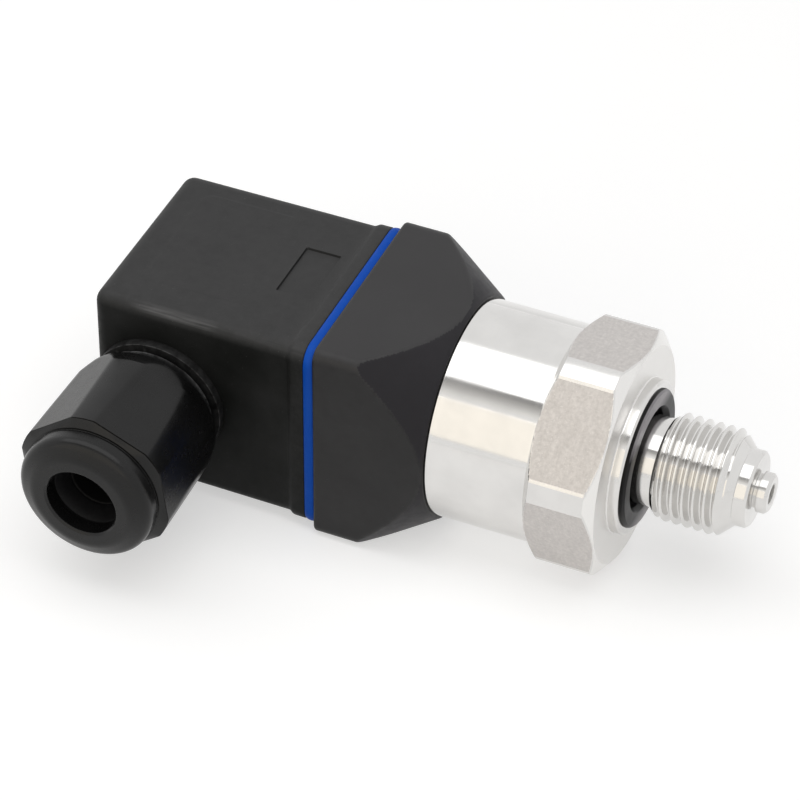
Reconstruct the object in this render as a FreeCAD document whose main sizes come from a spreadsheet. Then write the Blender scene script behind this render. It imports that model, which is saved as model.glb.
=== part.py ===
import FreeCAD, Part
import PartDesign
import Sketcher
import math
import os

# Pressure transmitter with a square cable plug, a steel case tube and a G1/4 process thread.
#
# Frame, in millimetres: the X axis is the transmitter's own axis and +X points out of the process
# thread, +Z is up and the cable gland points along -Y. The origin is the centre of the sealing face
# round the thread's neck. It lies on its side, on the connector base and one land of the hex collar.

# Driving sizes. Every cell of the sheet holds one of them, in millimetres or degrees.
SIZES = {
    # Process connection: seal boss, neck, thread, nose and centring pin
    "boss_radius": 9.5,
    "boss_height": 1.4,
    "boss_chamfer": 0.25,
    "seal_groove_radius": 8.55,
    "seal_groove_depth": 1.3,
    "neck_radius": 5.45,
    "neck_length": 3.4,
    "thread_radius": 6.5785,
    "thread_length": 7.2,
    "thread_runout": 1.1,
    "thread_tip_length": 1.75,
    "thread_tip_radius": 4.85,
    "nose_radius": 4.73,
    "nose_length": 1.6,
    "pin_radius": 2.5,
    "pin_root_radius": 2.1,
    "pin_root_length": 0.5,
    "pin_length": 1.3,
    "turned_chamfer": 0.25,
    "port_radius": 1.25,
    # Hex collar: a turned disc with six milled flats
    "collar_length": 7.84,
    "collar_radius": 15.1,
    "collar_flat_depth": 1.45,
    "collar_turn": -12.95,
    "collar_cone_depth": 1.7,
    "collar_cone_length": 1.1,
    "collar_back_chamfer": 0.4,
    # Recess for the measuring cell, open towards the case
    "joint_length": 2.8,
    "recess_radius": 9.2,
    "recess_floor": 3.0,
    "cell_gap": 0.2,
    "cell_thickness": 5.0,
    "cell_stand": 0.4,
    "membrane_radius": 4.0,
    "membrane_depth": 0.3,
    "cell_seal_radius": 5.6,
    "cell_seal_section": 0.75,
    "cell_seal_side_gap": 0.2,
    "ring_thickness": 1.8,
    "ring_bore_radius": 6.2,
    "ring_notch_width": 2.0,
    "ring_notch_depth": 1.0,
    # Process seal, a profile ring in the boss
    "seal_inner_radius": 6.2,
    "seal_proud": 0.5,
    "seal_bevel": 0.25,
    "seal_lip": 0.4,
    # Case tube
    "tube_radius": 13.5,
    "tube_wall": 1.0,
    "tube_length": 13.6,
    "tube_edge": 0.2,
    # Connector base: a square prism cut to a round shoulder by a cone
    "base_length": 14.07,
    "base_side_step": 0.26,
    "base_top_step": 0.55,
    "base_corner": 1.5,
    "base_shoulder_proud": 0.45,
    "base_cone_angle": 32.8,
    "base_plate": 3.5,
    "base_spigot_length": 4.5,
    "base_spigot_gap": 0.1,
    "base_bore_radius": 9.6,
    "base_seal_section": 0.7,
    "base_seal_setback": 1.2,
    "pillar_radius": 3.6,
    "pillar_height": 5.4,
    "insert_radius": 2.5,
    "insert_length": 6.3,
    # Flat contact pins on a circle round the axis
    "blade_width": 6.3,
    "blade_thickness": 0.8,
    "blade_stand": 9.5,
    "blade_chamfer": 1.0,
    "tail_width": 1.2,
    "tail_stand": 0.8,
    # Circuit board, its chip and capacitors, and the leads to the cell
    "board_gap": 0.7,
    "board_thickness": 1.6,
    "tail_hole_radius": 0.85,
    "chip_side": 4.5,
    "chip_height": 1.2,
    "chip_offset": 5.2,
    "capacitor_length": 2.0,
    "capacitor_width": 1.25,
    "capacitor_height": 1.0,
    "capacitor_offset": 5.4,
    "lead_circle": 3.5,
    "lead_radius": 0.35,
    # Flat gasket between the base and the plug
    "gasket_thickness": 1.3,
    "gasket_proud": 0.1,
    "gasket_opening_gap": 0.1,
    # Plug housing: drafted box with a rim at its mouth
    "plug_height": 27.7,
    "plug_width": 26.6,
    "plug_depth": 26.4,
    "plug_corner": 1.9,
    "plug_draft": 0.15,
    "plug_wall": 1.8,
    "plug_crown": 1.7,
    "plug_crown_fillet": 1.5,
    "rim_proud": 0.4,
    "rim_length": 2.15,
    "screw_boss_radius": 5.4,
    "screw_boss_length": 4.0,
    "screw_recess_radius": 4.2,
    "screw_recess_depth": 3.2,
    "screw_hole_gap": 0.2,
    # Terminal block with its sleeves and clamping screws
    "block_gap": 0.3,
    "block_height": 12.5,
    "block_corner": 2.0,
    "block_seat": 0.3,
    "block_wall": 0.85,
    "pillar_gap": 0.3,
    "sleeve_gap": 0.1,
    "sleeve_wall": 0.75,
    "sleeve_mouth": 0.7,
    "pocket_gap": 0.05,
    "tab_thickness": 0.8,
    "tab_width": 5.0,
    "tab_reach": 2.4,
    "clamp_wall": 0.9,
    "clamp_radius": 1.25,
    "clamp_length": 4.0,
    "clamp_head_radius": 2.2,
    "clamp_head_height": 1.5,
    "clamp_slot_width": 0.6,
    "clamp_slot_depth": 0.7,
    # Fixing screw through the plug and the washer under its head
    "screw_radius": 1.5,
    "screw_fit": 0.05,
    "screw_engagement": 5.0,
    "screw_head_radius": 2.75,
    "screw_head_height": 1.9,
    "screw_tip_chamfer": 0.4,
    "screw_slot_width": 0.8,
    "screw_slot_depth": 1.0,
    "washer_radius": 3.6,
    "washer_thickness": 0.8,
    # Cable gland on the side of the plug
    "gland_drop": 8.6,
    "gland_collar_proud": 0.42,
    "gland_collar_height": 1.0,
    "gland_thread_radius": 8.0,
    "gland_thread_length": 11.0,
    "gland_wall": 1.4,
    "nut_gap": 3.5,
    "nut_hex_length": 13.66,
    "nut_wall": 1.78,
    "nut_flat_depth": 0.68,
    "nut_turn": 37.0,
    "nut_shoulder_cone": 0.6,
    "nut_shoulder_inset": 1.1,
    "nut_groove_inset": 1.45,
    "nut_groove_length": 0.2,
    "dome_inset": 1.25,
    "dome_length": 3.1,
    "dome_roll_length": 1.0,
    "dome_roll_depth": 2.2,
    "dome_fillet": 2.2,
    "nut_opening_radius": 4.46,
    "nut_opening_chamfer": 0.25,
    "nut_lip": 2.25,
    "nut_seat_step": 1.1,
    "nut_seat_length": 4.45,
    "nut_thread_fit": 0.05,
    "thrust_ring_gap": 0.1,
    "thrust_ring_thickness": 2.15,
    "thrust_ring_bore": 3.4,
    "thrust_ring_funnel": 1.6,
    "gland_seal_length": 12.5,
    "gland_seal_bore": 3.25,
    "gland_seal_gap": 0.1,
}

BLADES = ["contact_pin_1", "contact_pin_2", "contact_pin_3", "earth_pin"]
SLEEVES = ["contact_sleeve_1", "contact_sleeve_2", "contact_sleeve_3", "earth_sleeve"]
# Quarter turns about the axis, from +Z towards -Y: 1 and 2 face each other, 3 faces the earth pin
CONTACT_QUARTERS = [0, 2, 1, 3]
LEAD_COUNT = 3
# Two places closer than this are the same, in millimetres
SAME_PLACE = 1e-4

# Places along X, from the sealing face back to the crown of the plug
THREAD_END = "(Sizes.neck_length + Sizes.thread_length)"
TIP_END = f"({THREAD_END} + Sizes.thread_tip_length)"
NOSE_END = f"({TIP_END} + Sizes.nose_length)"
PIN_ROOT_END = f"({NOSE_END} + Sizes.pin_root_length)"
PIN_END = f"({PIN_ROOT_END} + Sizes.pin_length)"
COLLAR_FRONT = "(-Sizes.boss_height)"
COLLAR_BACK = f"({COLLAR_FRONT} - Sizes.collar_length)"
JOINT_BACK = f"({COLLAR_BACK} - Sizes.joint_length)"
CELL_FLOOR = f"({COLLAR_FRONT} - Sizes.recess_floor)"
CELL_FRONT = f"({CELL_FLOOR} - Sizes.cell_stand)"
CELL_BACK = f"({CELL_FRONT} - Sizes.cell_thickness)"
TUBE_BACK = f"({COLLAR_BACK} - Sizes.tube_length)"
SPIGOT_END = f"({TUBE_BACK} + Sizes.base_spigot_length)"
BOARD_FRONT = f"({SPIGOT_END} + Sizes.board_thickness)"
BASE_FACE = f"({TUBE_BACK} - Sizes.base_length)"
PLATE_BACK = f"({BASE_FACE} + Sizes.base_plate)"
PILLAR_TIP = f"({BASE_FACE} - Sizes.pillar_height)"
BLADE_TIP = f"({BASE_FACE} - Sizes.blade_stand)"
BLOCK_FACE = f"({BASE_FACE} - Sizes.block_seat)"
BLOCK_TOP = f"({BLOCK_FACE} - Sizes.block_height)"
SLEEVE_MOUTH = f"({BLOCK_FACE} - Sizes.sleeve_mouth)"
TAB_TOP = f"({BLOCK_TOP} - Sizes.tab_thickness)"
GASKET_FACE = f"({BASE_FACE} - Sizes.gasket_thickness)"
PLUG_CROWN = f"({GASKET_FACE} - Sizes.plug_height)"
CROWN_INNER = f"({PLUG_CROWN} + Sizes.plug_crown)"
RECESS_FLOOR = f"({PLUG_CROWN} + Sizes.screw_recess_depth)"
HEAD_SEAT = f"({RECESS_FLOOR} - Sizes.washer_thickness)"
SCREW_TIP = f"({PILLAR_TIP} + Sizes.screw_engagement)"
GLAND_PLACE = f"({PLUG_CROWN} + Sizes.gland_drop)"

# Places along the gland's own axis, counted outwards from the transmitter's axis
PLUG_SIDE = "(Sizes.plug_width / 2)"
GLAND_THREAD_END = f"({PLUG_SIDE} + Sizes.gland_thread_length)"
NUT_REAR = f"({PLUG_SIDE} + Sizes.nut_gap)"
NUT_SHOULDER = f"({NUT_REAR} + Sizes.nut_hex_length)"
SHOULDER_END = f"({NUT_SHOULDER} + Sizes.nut_shoulder_cone)"
DOME_ROOT = f"({SHOULDER_END} + Sizes.nut_groove_length)"
NUT_FRONT = f"({DOME_ROOT} + Sizes.dome_length)"
NUT_SEAT = f"({NUT_FRONT} - Sizes.nut_lip)"
THRUST_RING_REAR = f"({NUT_SEAT} - Sizes.thrust_ring_thickness)"
GLAND_SEAL_REAR = f"({THRUST_RING_REAR} - Sizes.gland_seal_length)"

# Radii and half widths that several pieces share
TUBE_BORE = "(Sizes.tube_radius - Sizes.tube_wall)"
SPIGOT_RADIUS = f"({TUBE_BORE} - Sizes.base_spigot_gap)"
INSERT_BORE = "(Sizes.screw_radius + Sizes.screw_fit)"
SCREW_HOLE = "(Sizes.screw_radius + Sizes.screw_hole_gap)"
CAVITY_HALF_WIDTH = "(Sizes.plug_width / 2 - Sizes.plug_wall)"
CAVITY_HALF_DEPTH = "(Sizes.plug_depth / 2 - Sizes.plug_wall)"
BLOCK_HALF_WIDTH = f"({CAVITY_HALF_WIDTH} - Sizes.block_gap)"
BLOCK_HALF_DEPTH = f"({CAVITY_HALF_DEPTH} - Sizes.block_gap)"
SLEEVE_BORE_WIDTH = "(Sizes.blade_width / 2 + Sizes.sleeve_gap)"
SLEEVE_BORE_HEIGHT = "(Sizes.blade_thickness / 2 + Sizes.sleeve_gap)"
SLEEVE_HALF_WIDTH = f"({SLEEVE_BORE_WIDTH} + Sizes.sleeve_wall)"
SLEEVE_HALF_HEIGHT = f"({SLEEVE_BORE_HEIGHT} + Sizes.sleeve_wall)"
# The contacts stand as far out as the block's narrower side lets their sleeves
BLOCK_NARROW_SIDE = f"min({BLOCK_HALF_WIDTH}; {BLOCK_HALF_DEPTH})"
CONTACT_CIRCLE = f"({BLOCK_NARROW_SIDE} - Sizes.block_wall - {SLEEVE_HALF_HEIGHT})"
CLAMP_CIRCLE = f"({CONTACT_CIRCLE} - {SLEEVE_HALF_HEIGHT} - Sizes.clamp_wall - Sizes.clamp_radius)"
GASKET_PROUD = "(Sizes.rim_proud + Sizes.gasket_proud)"
GASKET_HALF_WIDTH = f"(Sizes.plug_width / 2 + {GASKET_PROUD})"
GASKET_HALF_DEPTH = f"(Sizes.plug_depth / 2 + {GASKET_PROUD})"
BASE_HALF_WIDTH = f"({GASKET_HALF_WIDTH} + Sizes.base_side_step)"
BASE_HALF_HEIGHT = f"({GASKET_HALF_DEPTH} + Sizes.base_top_step)"
COLLAR_FLATS = "(2 * (Sizes.collar_radius - Sizes.collar_flat_depth))"
GLAND_BORE = "(Sizes.gland_thread_radius - Sizes.gland_wall)"
NUT_HEX_RADIUS = "(Sizes.gland_thread_radius + Sizes.nut_wall)"
NUT_REAR_RADIUS = f"({NUT_HEX_RADIUS} - Sizes.nut_flat_depth)"
DOME_RADIUS = f"({NUT_HEX_RADIUS} - Sizes.dome_inset)"

doc = FreeCAD.newDocument("PressureTransmitter")
sheet = doc.addObject("Spreadsheet::Sheet", "Sizes")
for row, (alias, number) in enumerate(SIZES.items(), start=1):
    sheet.set(f"A{row}", alias)
    sheet.set(f"B{row}", str(number))
    sheet.setAlias(f"B{row}", alias)
doc.recompute()

pieces = []


def value(expression):
    """The number that an expression of the sheet's sizes gives."""
    return float(sheet.evalExpression(expression))


def add_body(name):
    """A body that becomes one node of the part."""
    body = doc.addObject("PartDesign::Body", name)
    body.Label = name
    pieces.append(body)
    return body


def origin_feature(body, role):
    return next(feature for feature in body.Origin.OriginFeatures if feature.Role == role)


def add_sketch(body, name, plane, offset="0"):
    """A sketch on an origin plane of the body, moved along the plane's normal."""
    sketch = body.newObject("Sketcher::SketchObject", name)
    sketch.AttachmentSupport = [(origin_feature(body, plane), "")]
    sketch.MapMode = "FlatFace"
    sketch.setExpression("AttachmentOffset.Base.z", offset)
    return sketch


def hold_point(sketch, geometry, point, across, up):
    """Ties one point of a sketch to two expressions, measured from the sketch's origin."""
    for kind, expression in (("DistanceX", across), ("DistanceY", up)):
        constraint = Sketcher.Constraint(kind, -1, 1, geometry, point, value(expression))
        index = sketch.addConstraint(constraint)
        sketch.setExpression(f"Constraints[{index}]", expression)


def draw_outline(sketch, corners):
    """A closed line through the corners, each given as two expressions."""
    places = [FreeCAD.Vector(value(across), value(up), 0) for across, up in corners]
    first = sketch.GeometryCount
    count = len(corners)
    for index in range(count):
        sketch.addGeometry(Part.LineSegment(places[index], places[(index + 1) % count]), False)
    for index in range(count):
        following = first + (index + 1) % count
        sketch.addConstraint(Sketcher.Constraint("Coincident", first + index, 2, following, 1))
    for index, (across, up) in enumerate(corners):
        hold_point(sketch, first + index, 1, across, up)


def draw_circle(sketch, across, up, radius):
    centre = FreeCAD.Vector(value(across), value(up), 0)
    circle = Part.Circle(centre, FreeCAD.Vector(0, 0, 1), value(radius))
    geometry = sketch.addGeometry(circle, False)
    hold_point(sketch, geometry, 3, across, up)
    index = sketch.addConstraint(Sketcher.Constraint("Radius", geometry, value(radius)))
    sketch.setExpression(f"Constraints[{index}]", radius)


def draw_rectangle(sketch, left, right, bottom, top):
    draw_outline(sketch, [(left, bottom), (right, bottom), (right, top), (left, top)])


def draw_rounded_square(sketch, half_across, half_up, corner):
    """A rectangle about the sketch's origin with four round corners."""
    across, up, radius = value(half_across), value(half_up), value(corner)
    for quarter, (side, rise) in enumerate(((1, 1), (-1, 1), (-1, -1), (1, -1))):
        centre = FreeCAD.Vector(side * (across - radius), rise * (up - radius), 0)
        circle = Part.Circle(centre, FreeCAD.Vector(0, 0, 1), radius)
        start = math.radians(90 * quarter)
        sketch.addGeometry(Part.ArcOfCircle(circle, start, start + math.pi / 2), False)
    for quarter in range(4):
        ends = sketch.Geometry[quarter].EndPoint, sketch.Geometry[(quarter + 1) % 4].StartPoint
        sketch.addGeometry(Part.LineSegment(*ends), False)
    for quarter in range(4):
        sketch.addConstraint(Sketcher.Constraint("Tangent", quarter, 2, 4 + quarter, 1))
        sketch.addConstraint(Sketcher.Constraint("Tangent", 4 + quarter, 2, (quarter + 1) % 4, 1))
    for quarter in range(3):
        sketch.addConstraint(Sketcher.Constraint("Equal", quarter, quarter + 1))
    index = sketch.addConstraint(Sketcher.Constraint("Radius", 0, radius))
    sketch.setExpression(f"Constraints[{index}]", corner)
    for line, kind in enumerate(("Horizontal", "Vertical", "Horizontal", "Vertical"), start=4):
        sketch.addConstraint(Sketcher.Constraint(kind, line))
    for kind, line, expression in (
        ("DistanceY", 4, half_up),
        ("DistanceX", 5, f"-{half_across}"),
        ("DistanceY", 6, f"-{half_up}"),
        ("DistanceX", 7, half_across),
    ):
        constraint = Sketcher.Constraint(kind, -1, 1, line, 1, value(expression))
        index = sketch.addConstraint(constraint)
        sketch.setExpression(f"Constraints[{index}]", expression)


def extrude(body, kind, name, sketch, length, reverse=False):
    """A Pad along the sketch's normal, or a Pocket against it, turned round by reverse."""
    feature = body.newObject(f"PartDesign::{kind}", name)
    feature.Profile = sketch
    feature.setExpression("Length", length)
    feature.Reversed = reverse
    return feature


def spin(body, kind, name, sketch):
    """A full Revolution or Groove about the X axis."""
    feature = body.newObject(f"PartDesign::{kind}", name)
    feature.Profile = sketch
    feature.ReferenceAxis = (sketch, ["H_Axis"])
    feature.Angle = 360
    return feature


def repeat_round(body, name, features, count):
    """Repeats features round the body's X axis."""
    pattern = body.newObject("PartDesign::PolarPattern", name)
    pattern.Originals = features
    pattern.Axis = (origin_feature(body, "X_Axis"), [""])
    pattern.Angle = 360
    pattern.Occurrences = count
    body.Tip = pattern
    return pattern


def turn_piece(name, corners):
    """A turned piece: a closed profile of places along X and radii, spun about X."""
    body = add_body(name)
    sketch = add_sketch(body, f"{name}_profile", "XY_Plane")
    draw_outline(sketch, corners)
    spin(body, "Revolution", f"{name}_turned", sketch)
    return body


def mill_hexagon(body, name, flats, turn, blank_radius, front, length):
    """Cuts six flats on a turned blank, from a front plane backwards.

    turn is the angle of one flat's normal, from +Z towards -Y of the body.
    """
    sketch = add_sketch(body, f"{name}_sketch", "YZ_Plane", front)
    corners = []
    for index in range(6):
        angle = f"({turn} + {30 + 60 * index})"
        reach = f"({flats} / 2 / cos(30))"
        corners.append((f"-{reach} * sin({angle})", f"{reach} * cos({angle})"))
    draw_outline(sketch, corners)
    draw_circle(sketch, "0", "0", f"{blank_radius} * 1.2")
    extrude(body, "Pocket", name, sketch, length)


def stand_on_gland(piece):
    """Turns a piece made along X so that it lies on the gland's axis, pointing along -Y."""
    piece.Placement = FreeCAD.Placement(
        FreeCAD.Vector(), FreeCAD.Rotation(FreeCAD.Vector(0, 0, 1), -90)
    )
    piece.setExpression("Placement.Base.x", GLAND_PLACE)


def lay_along_x(shape, along, across="0", up="0"):
    """Turns a cylinder or a torus from Z to X and puts its base or centre in place."""
    shape.Placement = FreeCAD.Placement(
        FreeCAD.Vector(), FreeCAD.Rotation(FreeCAD.Vector(0, 1, 0), 90)
    )
    place_at(shape, along, across, up)


def place_at(shape, along, across, up):
    for axis, expression in (("x", along), ("y", across), ("z", up)):
        shape.setExpression(f"Placement.Base.{axis}", expression)


def add_cylinder(name, radius, length, along, across="0", up="0"):
    cylinder = doc.addObject("Part::Cylinder", name)
    cylinder.setExpression("Radius", radius)
    cylinder.setExpression("Height", length)
    lay_along_x(cylinder, along, across, up)
    return cylinder


def add_o_ring(name, radius, section, along):
    ring = doc.addObject("Part::Torus", name)
    ring.Label = name
    ring.setExpression("Radius1", radius)
    ring.setExpression("Radius2", section)
    lay_along_x(ring, along)
    pieces.append(ring)
    return ring


def add_box(name, sides, corner):
    box = doc.addObject("Part::Box", name)
    for property_name, expression in zip(("Length", "Width", "Height"), sides):
        box.setExpression(property_name, expression)
    place_at(box, *corner)
    return box


def add_group(name, members):
    """Several like solids that share one node."""
    group = doc.addObject("Part::Compound", name)
    group.Label = name
    group.Links = members
    pieces.append(group)
    return group


def round_edges(body, name, radius, chosen):
    """Fillets the edges of the body's last feature that the test picks."""
    doc.recompute()
    base = body.Tip
    names = [f"Edge{index}" for index, edge in enumerate(base.Shape.Edges, 1) if chosen(edge)]
    if not names:
        raise RuntimeError(f"{name} finds no edge to round")
    fillet = body.newObject("PartDesign::Fillet", name)
    fillet.Base = (base, names)
    fillet.setExpression("Radius", radius)
    return fillet


def lies_at(edge, place):
    """True where a whole edge lies in the plane across X at a place."""
    box = edge.BoundBox
    return max(abs(box.XMin - value(place)), abs(box.XMax - value(place))) < SAME_PLACE


def is_ring(edge, place, radius):
    """True for a whole circle about X at a place, with a radius."""
    return lies_at(edge, place) and abs(edge.BoundBox.YMax - value(radius)) < SAME_PLACE


def make_process_connection():
    """One turned and milled steel piece: cell recess, hex collar, seal boss, thread and nose."""
    groove_inner = "(Sizes.cell_seal_radius - Sizes.cell_seal_section - Sizes.cell_seal_side_gap)"
    groove_outer = "(Sizes.cell_seal_radius + Sizes.cell_seal_section + Sizes.cell_seal_side_gap)"
    groove_floor = f"({CELL_FLOOR} + 2 * Sizes.cell_seal_section - Sizes.cell_stand)"
    chamfer = "Sizes.turned_chamfer"
    body = turn_piece("process_connection", [
        (JOINT_BACK, "Sizes.recess_radius"),
        (JOINT_BACK, TUBE_BORE),
        (COLLAR_BACK, TUBE_BORE),
        (COLLAR_BACK, "Sizes.collar_radius - Sizes.collar_back_chamfer"),
        (f"{COLLAR_BACK} + Sizes.collar_back_chamfer", "Sizes.collar_radius"),
        (f"{COLLAR_FRONT} - Sizes.collar_cone_length", "Sizes.collar_radius"),
        (COLLAR_FRONT, "Sizes.collar_radius - Sizes.collar_cone_depth"),
        (COLLAR_FRONT, "Sizes.boss_radius"),
        ("-Sizes.boss_chamfer", "Sizes.boss_radius"),
        ("0", "Sizes.boss_radius - Sizes.boss_chamfer"),
        ("0", "Sizes.seal_groove_radius"),
        ("-Sizes.seal_groove_depth", "Sizes.seal_groove_radius"),
        ("-Sizes.seal_groove_depth", "Sizes.neck_radius"),
        ("Sizes.neck_length - Sizes.thread_runout", "Sizes.neck_radius"),
        ("Sizes.neck_length", "Sizes.thread_radius"),
        (THREAD_END, "Sizes.thread_radius"),
        (TIP_END, "Sizes.thread_tip_radius"),
        (TIP_END, "Sizes.nose_radius"),
        (f"{NOSE_END} - {chamfer}", "Sizes.nose_radius"),
        (NOSE_END, f"Sizes.nose_radius - {chamfer}"),
        (NOSE_END, "Sizes.pin_root_radius"),
        (PIN_ROOT_END, "Sizes.pin_root_radius"),
        (PIN_ROOT_END, "Sizes.pin_radius"),
        (f"{PIN_END} - {chamfer}", "Sizes.pin_radius"),
        (PIN_END, f"Sizes.pin_radius - {chamfer}"),
        (PIN_END, "Sizes.port_radius"),
        (CELL_FLOOR, "Sizes.port_radius"),
        (CELL_FLOOR, groove_inner),
        (groove_floor, groove_inner),
        (groove_floor, groove_outer),
        (CELL_FLOOR, groove_outer),
        (CELL_FLOOR, "Sizes.recess_radius"),
    ])
    mill_hexagon(
        body, "collar_flats", COLLAR_FLATS, "Sizes.collar_turn", "Sizes.collar_radius",
        COLLAR_FRONT, "Sizes.collar_length",
    )


def make_process_seal():
    """Profile ring in the boss: proud of the sealing face, falling away towards the neck."""
    turn_piece("process_seal", [
        ("-Sizes.seal_groove_depth", "Sizes.seal_inner_radius"),
        ("-Sizes.seal_groove_depth", "Sizes.seal_groove_radius"),
        ("0", "Sizes.seal_groove_radius"),
        ("Sizes.seal_proud", "Sizes.seal_groove_radius - Sizes.seal_bevel"),
        ("Sizes.seal_proud", "Sizes.seal_inner_radius + Sizes.seal_lip"),
        ("-Sizes.seal_lip / 2", "Sizes.seal_inner_radius"),
    ])


def make_measuring_cell():
    """Ceramic cell on its seal, held down by a notched ring, with leads to the board."""
    cell_radius = "Sizes.recess_radius - Sizes.cell_gap"
    turn_piece("sensor_cell", [
        (f"{CELL_FRONT} - Sizes.membrane_depth", "0"),
        (f"{CELL_FRONT} - Sizes.membrane_depth", "Sizes.membrane_radius"),
        (CELL_FRONT, "Sizes.membrane_radius"),
        (CELL_FRONT, cell_radius),
        (CELL_BACK, cell_radius),
        (CELL_BACK, "0"),
    ])
    add_o_ring(
        "cell_o_ring", "Sizes.cell_seal_radius", "Sizes.cell_seal_section",
        f"{CELL_FRONT} + Sizes.cell_seal_section",
    )
    ring_back = f"({CELL_BACK} - Sizes.ring_thickness)"
    ring = turn_piece("retaining_ring", [
        (CELL_BACK, "Sizes.ring_bore_radius"),
        (CELL_BACK, "Sizes.recess_radius"),
        (ring_back, "Sizes.recess_radius"),
        (ring_back, "Sizes.ring_bore_radius"),
    ])
    notches = add_sketch(ring, "ring_notch_sketch", "YZ_Plane", ring_back)
    draw_rectangle(
        notches, "-Sizes.ring_notch_width / 2", "Sizes.ring_notch_width / 2",
        "-Sizes.recess_radius - Sizes.ring_notch_width",
        "Sizes.recess_radius + Sizes.ring_notch_width",
    )
    extrude(ring, "Pocket", "ring_notches", notches, "Sizes.ring_notch_depth", reverse=True)
    leads = []
    for index in range(LEAD_COUNT):
        angle = 360 / LEAD_COUNT * index
        leads.append(add_cylinder(
            f"cell_lead_{index + 1}", "Sizes.lead_radius", f"{CELL_BACK} - {BOARD_FRONT}",
            BOARD_FRONT, f"Sizes.lead_circle * sin({angle})", f"Sizes.lead_circle * cos({angle})",
        ))
    add_group("cell_leads", leads)


def make_case_tube():
    """Plain steel tube, pushed over the collar's joint and the base's spigot."""
    turn_piece("case_tube", [
        (TUBE_BACK, TUBE_BORE),
        (TUBE_BACK, "Sizes.tube_radius - Sizes.tube_edge"),
        (f"{TUBE_BACK} + Sizes.tube_edge", "Sizes.tube_radius"),
        (f"{COLLAR_BACK} - Sizes.tube_edge", "Sizes.tube_radius"),
        (COLLAR_BACK, "Sizes.tube_radius - Sizes.tube_edge"),
        (COLLAR_BACK, TUBE_BORE),
    ])


def draw_blade_slot(sketch, width, half_height):
    """A slot across the contact circle above the axis."""
    draw_rectangle(
        sketch, f"-{width}", width,
        f"{CONTACT_CIRCLE} - {half_height}", f"{CONTACT_CIRCLE} + {half_height}",
    )


def make_connector_base():
    """Moulded base: square at the gasket, cut by a cone to a round shoulder at the tube."""
    body = add_body("connector_base")
    prism = add_sketch(body, "base_prism_sketch", "YZ_Plane", BASE_FACE)
    draw_rounded_square(prism, BASE_HALF_WIDTH, BASE_HALF_HEIGHT, "Sizes.base_corner")
    extrude(body, "Pad", "base_prism", prism, "Sizes.base_length")
    shoulder_radius = "(Sizes.tube_radius + Sizes.base_shoulder_proud)"
    cut_radius = f"(2 * {BASE_HALF_HEIGHT})"
    cone_rise = f"(({cut_radius} - {shoulder_radius}) / tan(Sizes.base_cone_angle))"
    cone = add_sketch(body, "base_cone_sketch", "XY_Plane")
    draw_outline(cone, [
        (TUBE_BACK, shoulder_radius),
        (TUBE_BACK, cut_radius),
        (f"{TUBE_BACK} - {cone_rise}", cut_radius),
    ])
    spin(body, "Groove", "base_corner_cuts", cone)
    spigot = add_sketch(body, "base_spigot_sketch", "YZ_Plane", TUBE_BACK)
    draw_circle(spigot, "0", "0", SPIGOT_RADIUS)
    extrude(body, "Pad", "base_spigot", spigot, "Sizes.base_spigot_length")
    groove_start = f"({TUBE_BACK} + Sizes.base_seal_setback)"
    groove_end = f"({groove_start} + 2 * Sizes.base_seal_section)"
    groove = add_sketch(body, "base_seal_groove_sketch", "XY_Plane")
    draw_rectangle(groove, groove_start, groove_end,
                   f"{TUBE_BORE} - 2 * Sizes.base_seal_section", TUBE_BORE)
    spin(body, "Groove", "base_seal_groove", groove)
    bore = add_sketch(body, "base_bore_sketch", "YZ_Plane", SPIGOT_END)
    draw_circle(bore, "0", "0", "Sizes.base_bore_radius")
    extrude(body, "Pocket", "base_bore", bore, f"{SPIGOT_END} - {PLATE_BACK}")
    pillar = add_sketch(body, "base_pillar_sketch", "YZ_Plane", BASE_FACE)
    draw_circle(pillar, "0", "0", "Sizes.pillar_radius")
    extrude(body, "Pad", "base_pillar", pillar, "Sizes.pillar_height", reverse=True)
    socket = add_sketch(body, "insert_socket_sketch", "YZ_Plane", PILLAR_TIP)
    draw_circle(socket, "0", "0", "Sizes.insert_radius")
    extrude(body, "Pocket", "insert_socket", socket, "Sizes.insert_length", reverse=True)
    slot = add_sketch(body, "blade_slot_sketch", "YZ_Plane", BASE_FACE)
    draw_blade_slot(slot, "(Sizes.blade_width / 2)", "Sizes.blade_thickness / 2")
    slots = extrude(body, "Pocket", "blade_slot", slot, "Sizes.base_plate", reverse=True)
    repeat_round(body, "blade_slots", [slots], len(BLADES))
    add_o_ring(
        "base_o_ring", f"{TUBE_BORE} - Sizes.base_seal_section", "Sizes.base_seal_section",
        f"{groove_start} + Sizes.base_seal_section",
    )
    insert_end = f"({PILLAR_TIP} + Sizes.insert_length)"
    turn_piece("threaded_insert", [
        (PILLAR_TIP, INSERT_BORE),
        (PILLAR_TIP, "Sizes.insert_radius"),
        (insert_end, "Sizes.insert_radius"),
        (insert_end, INSERT_BORE),
    ])


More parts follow.
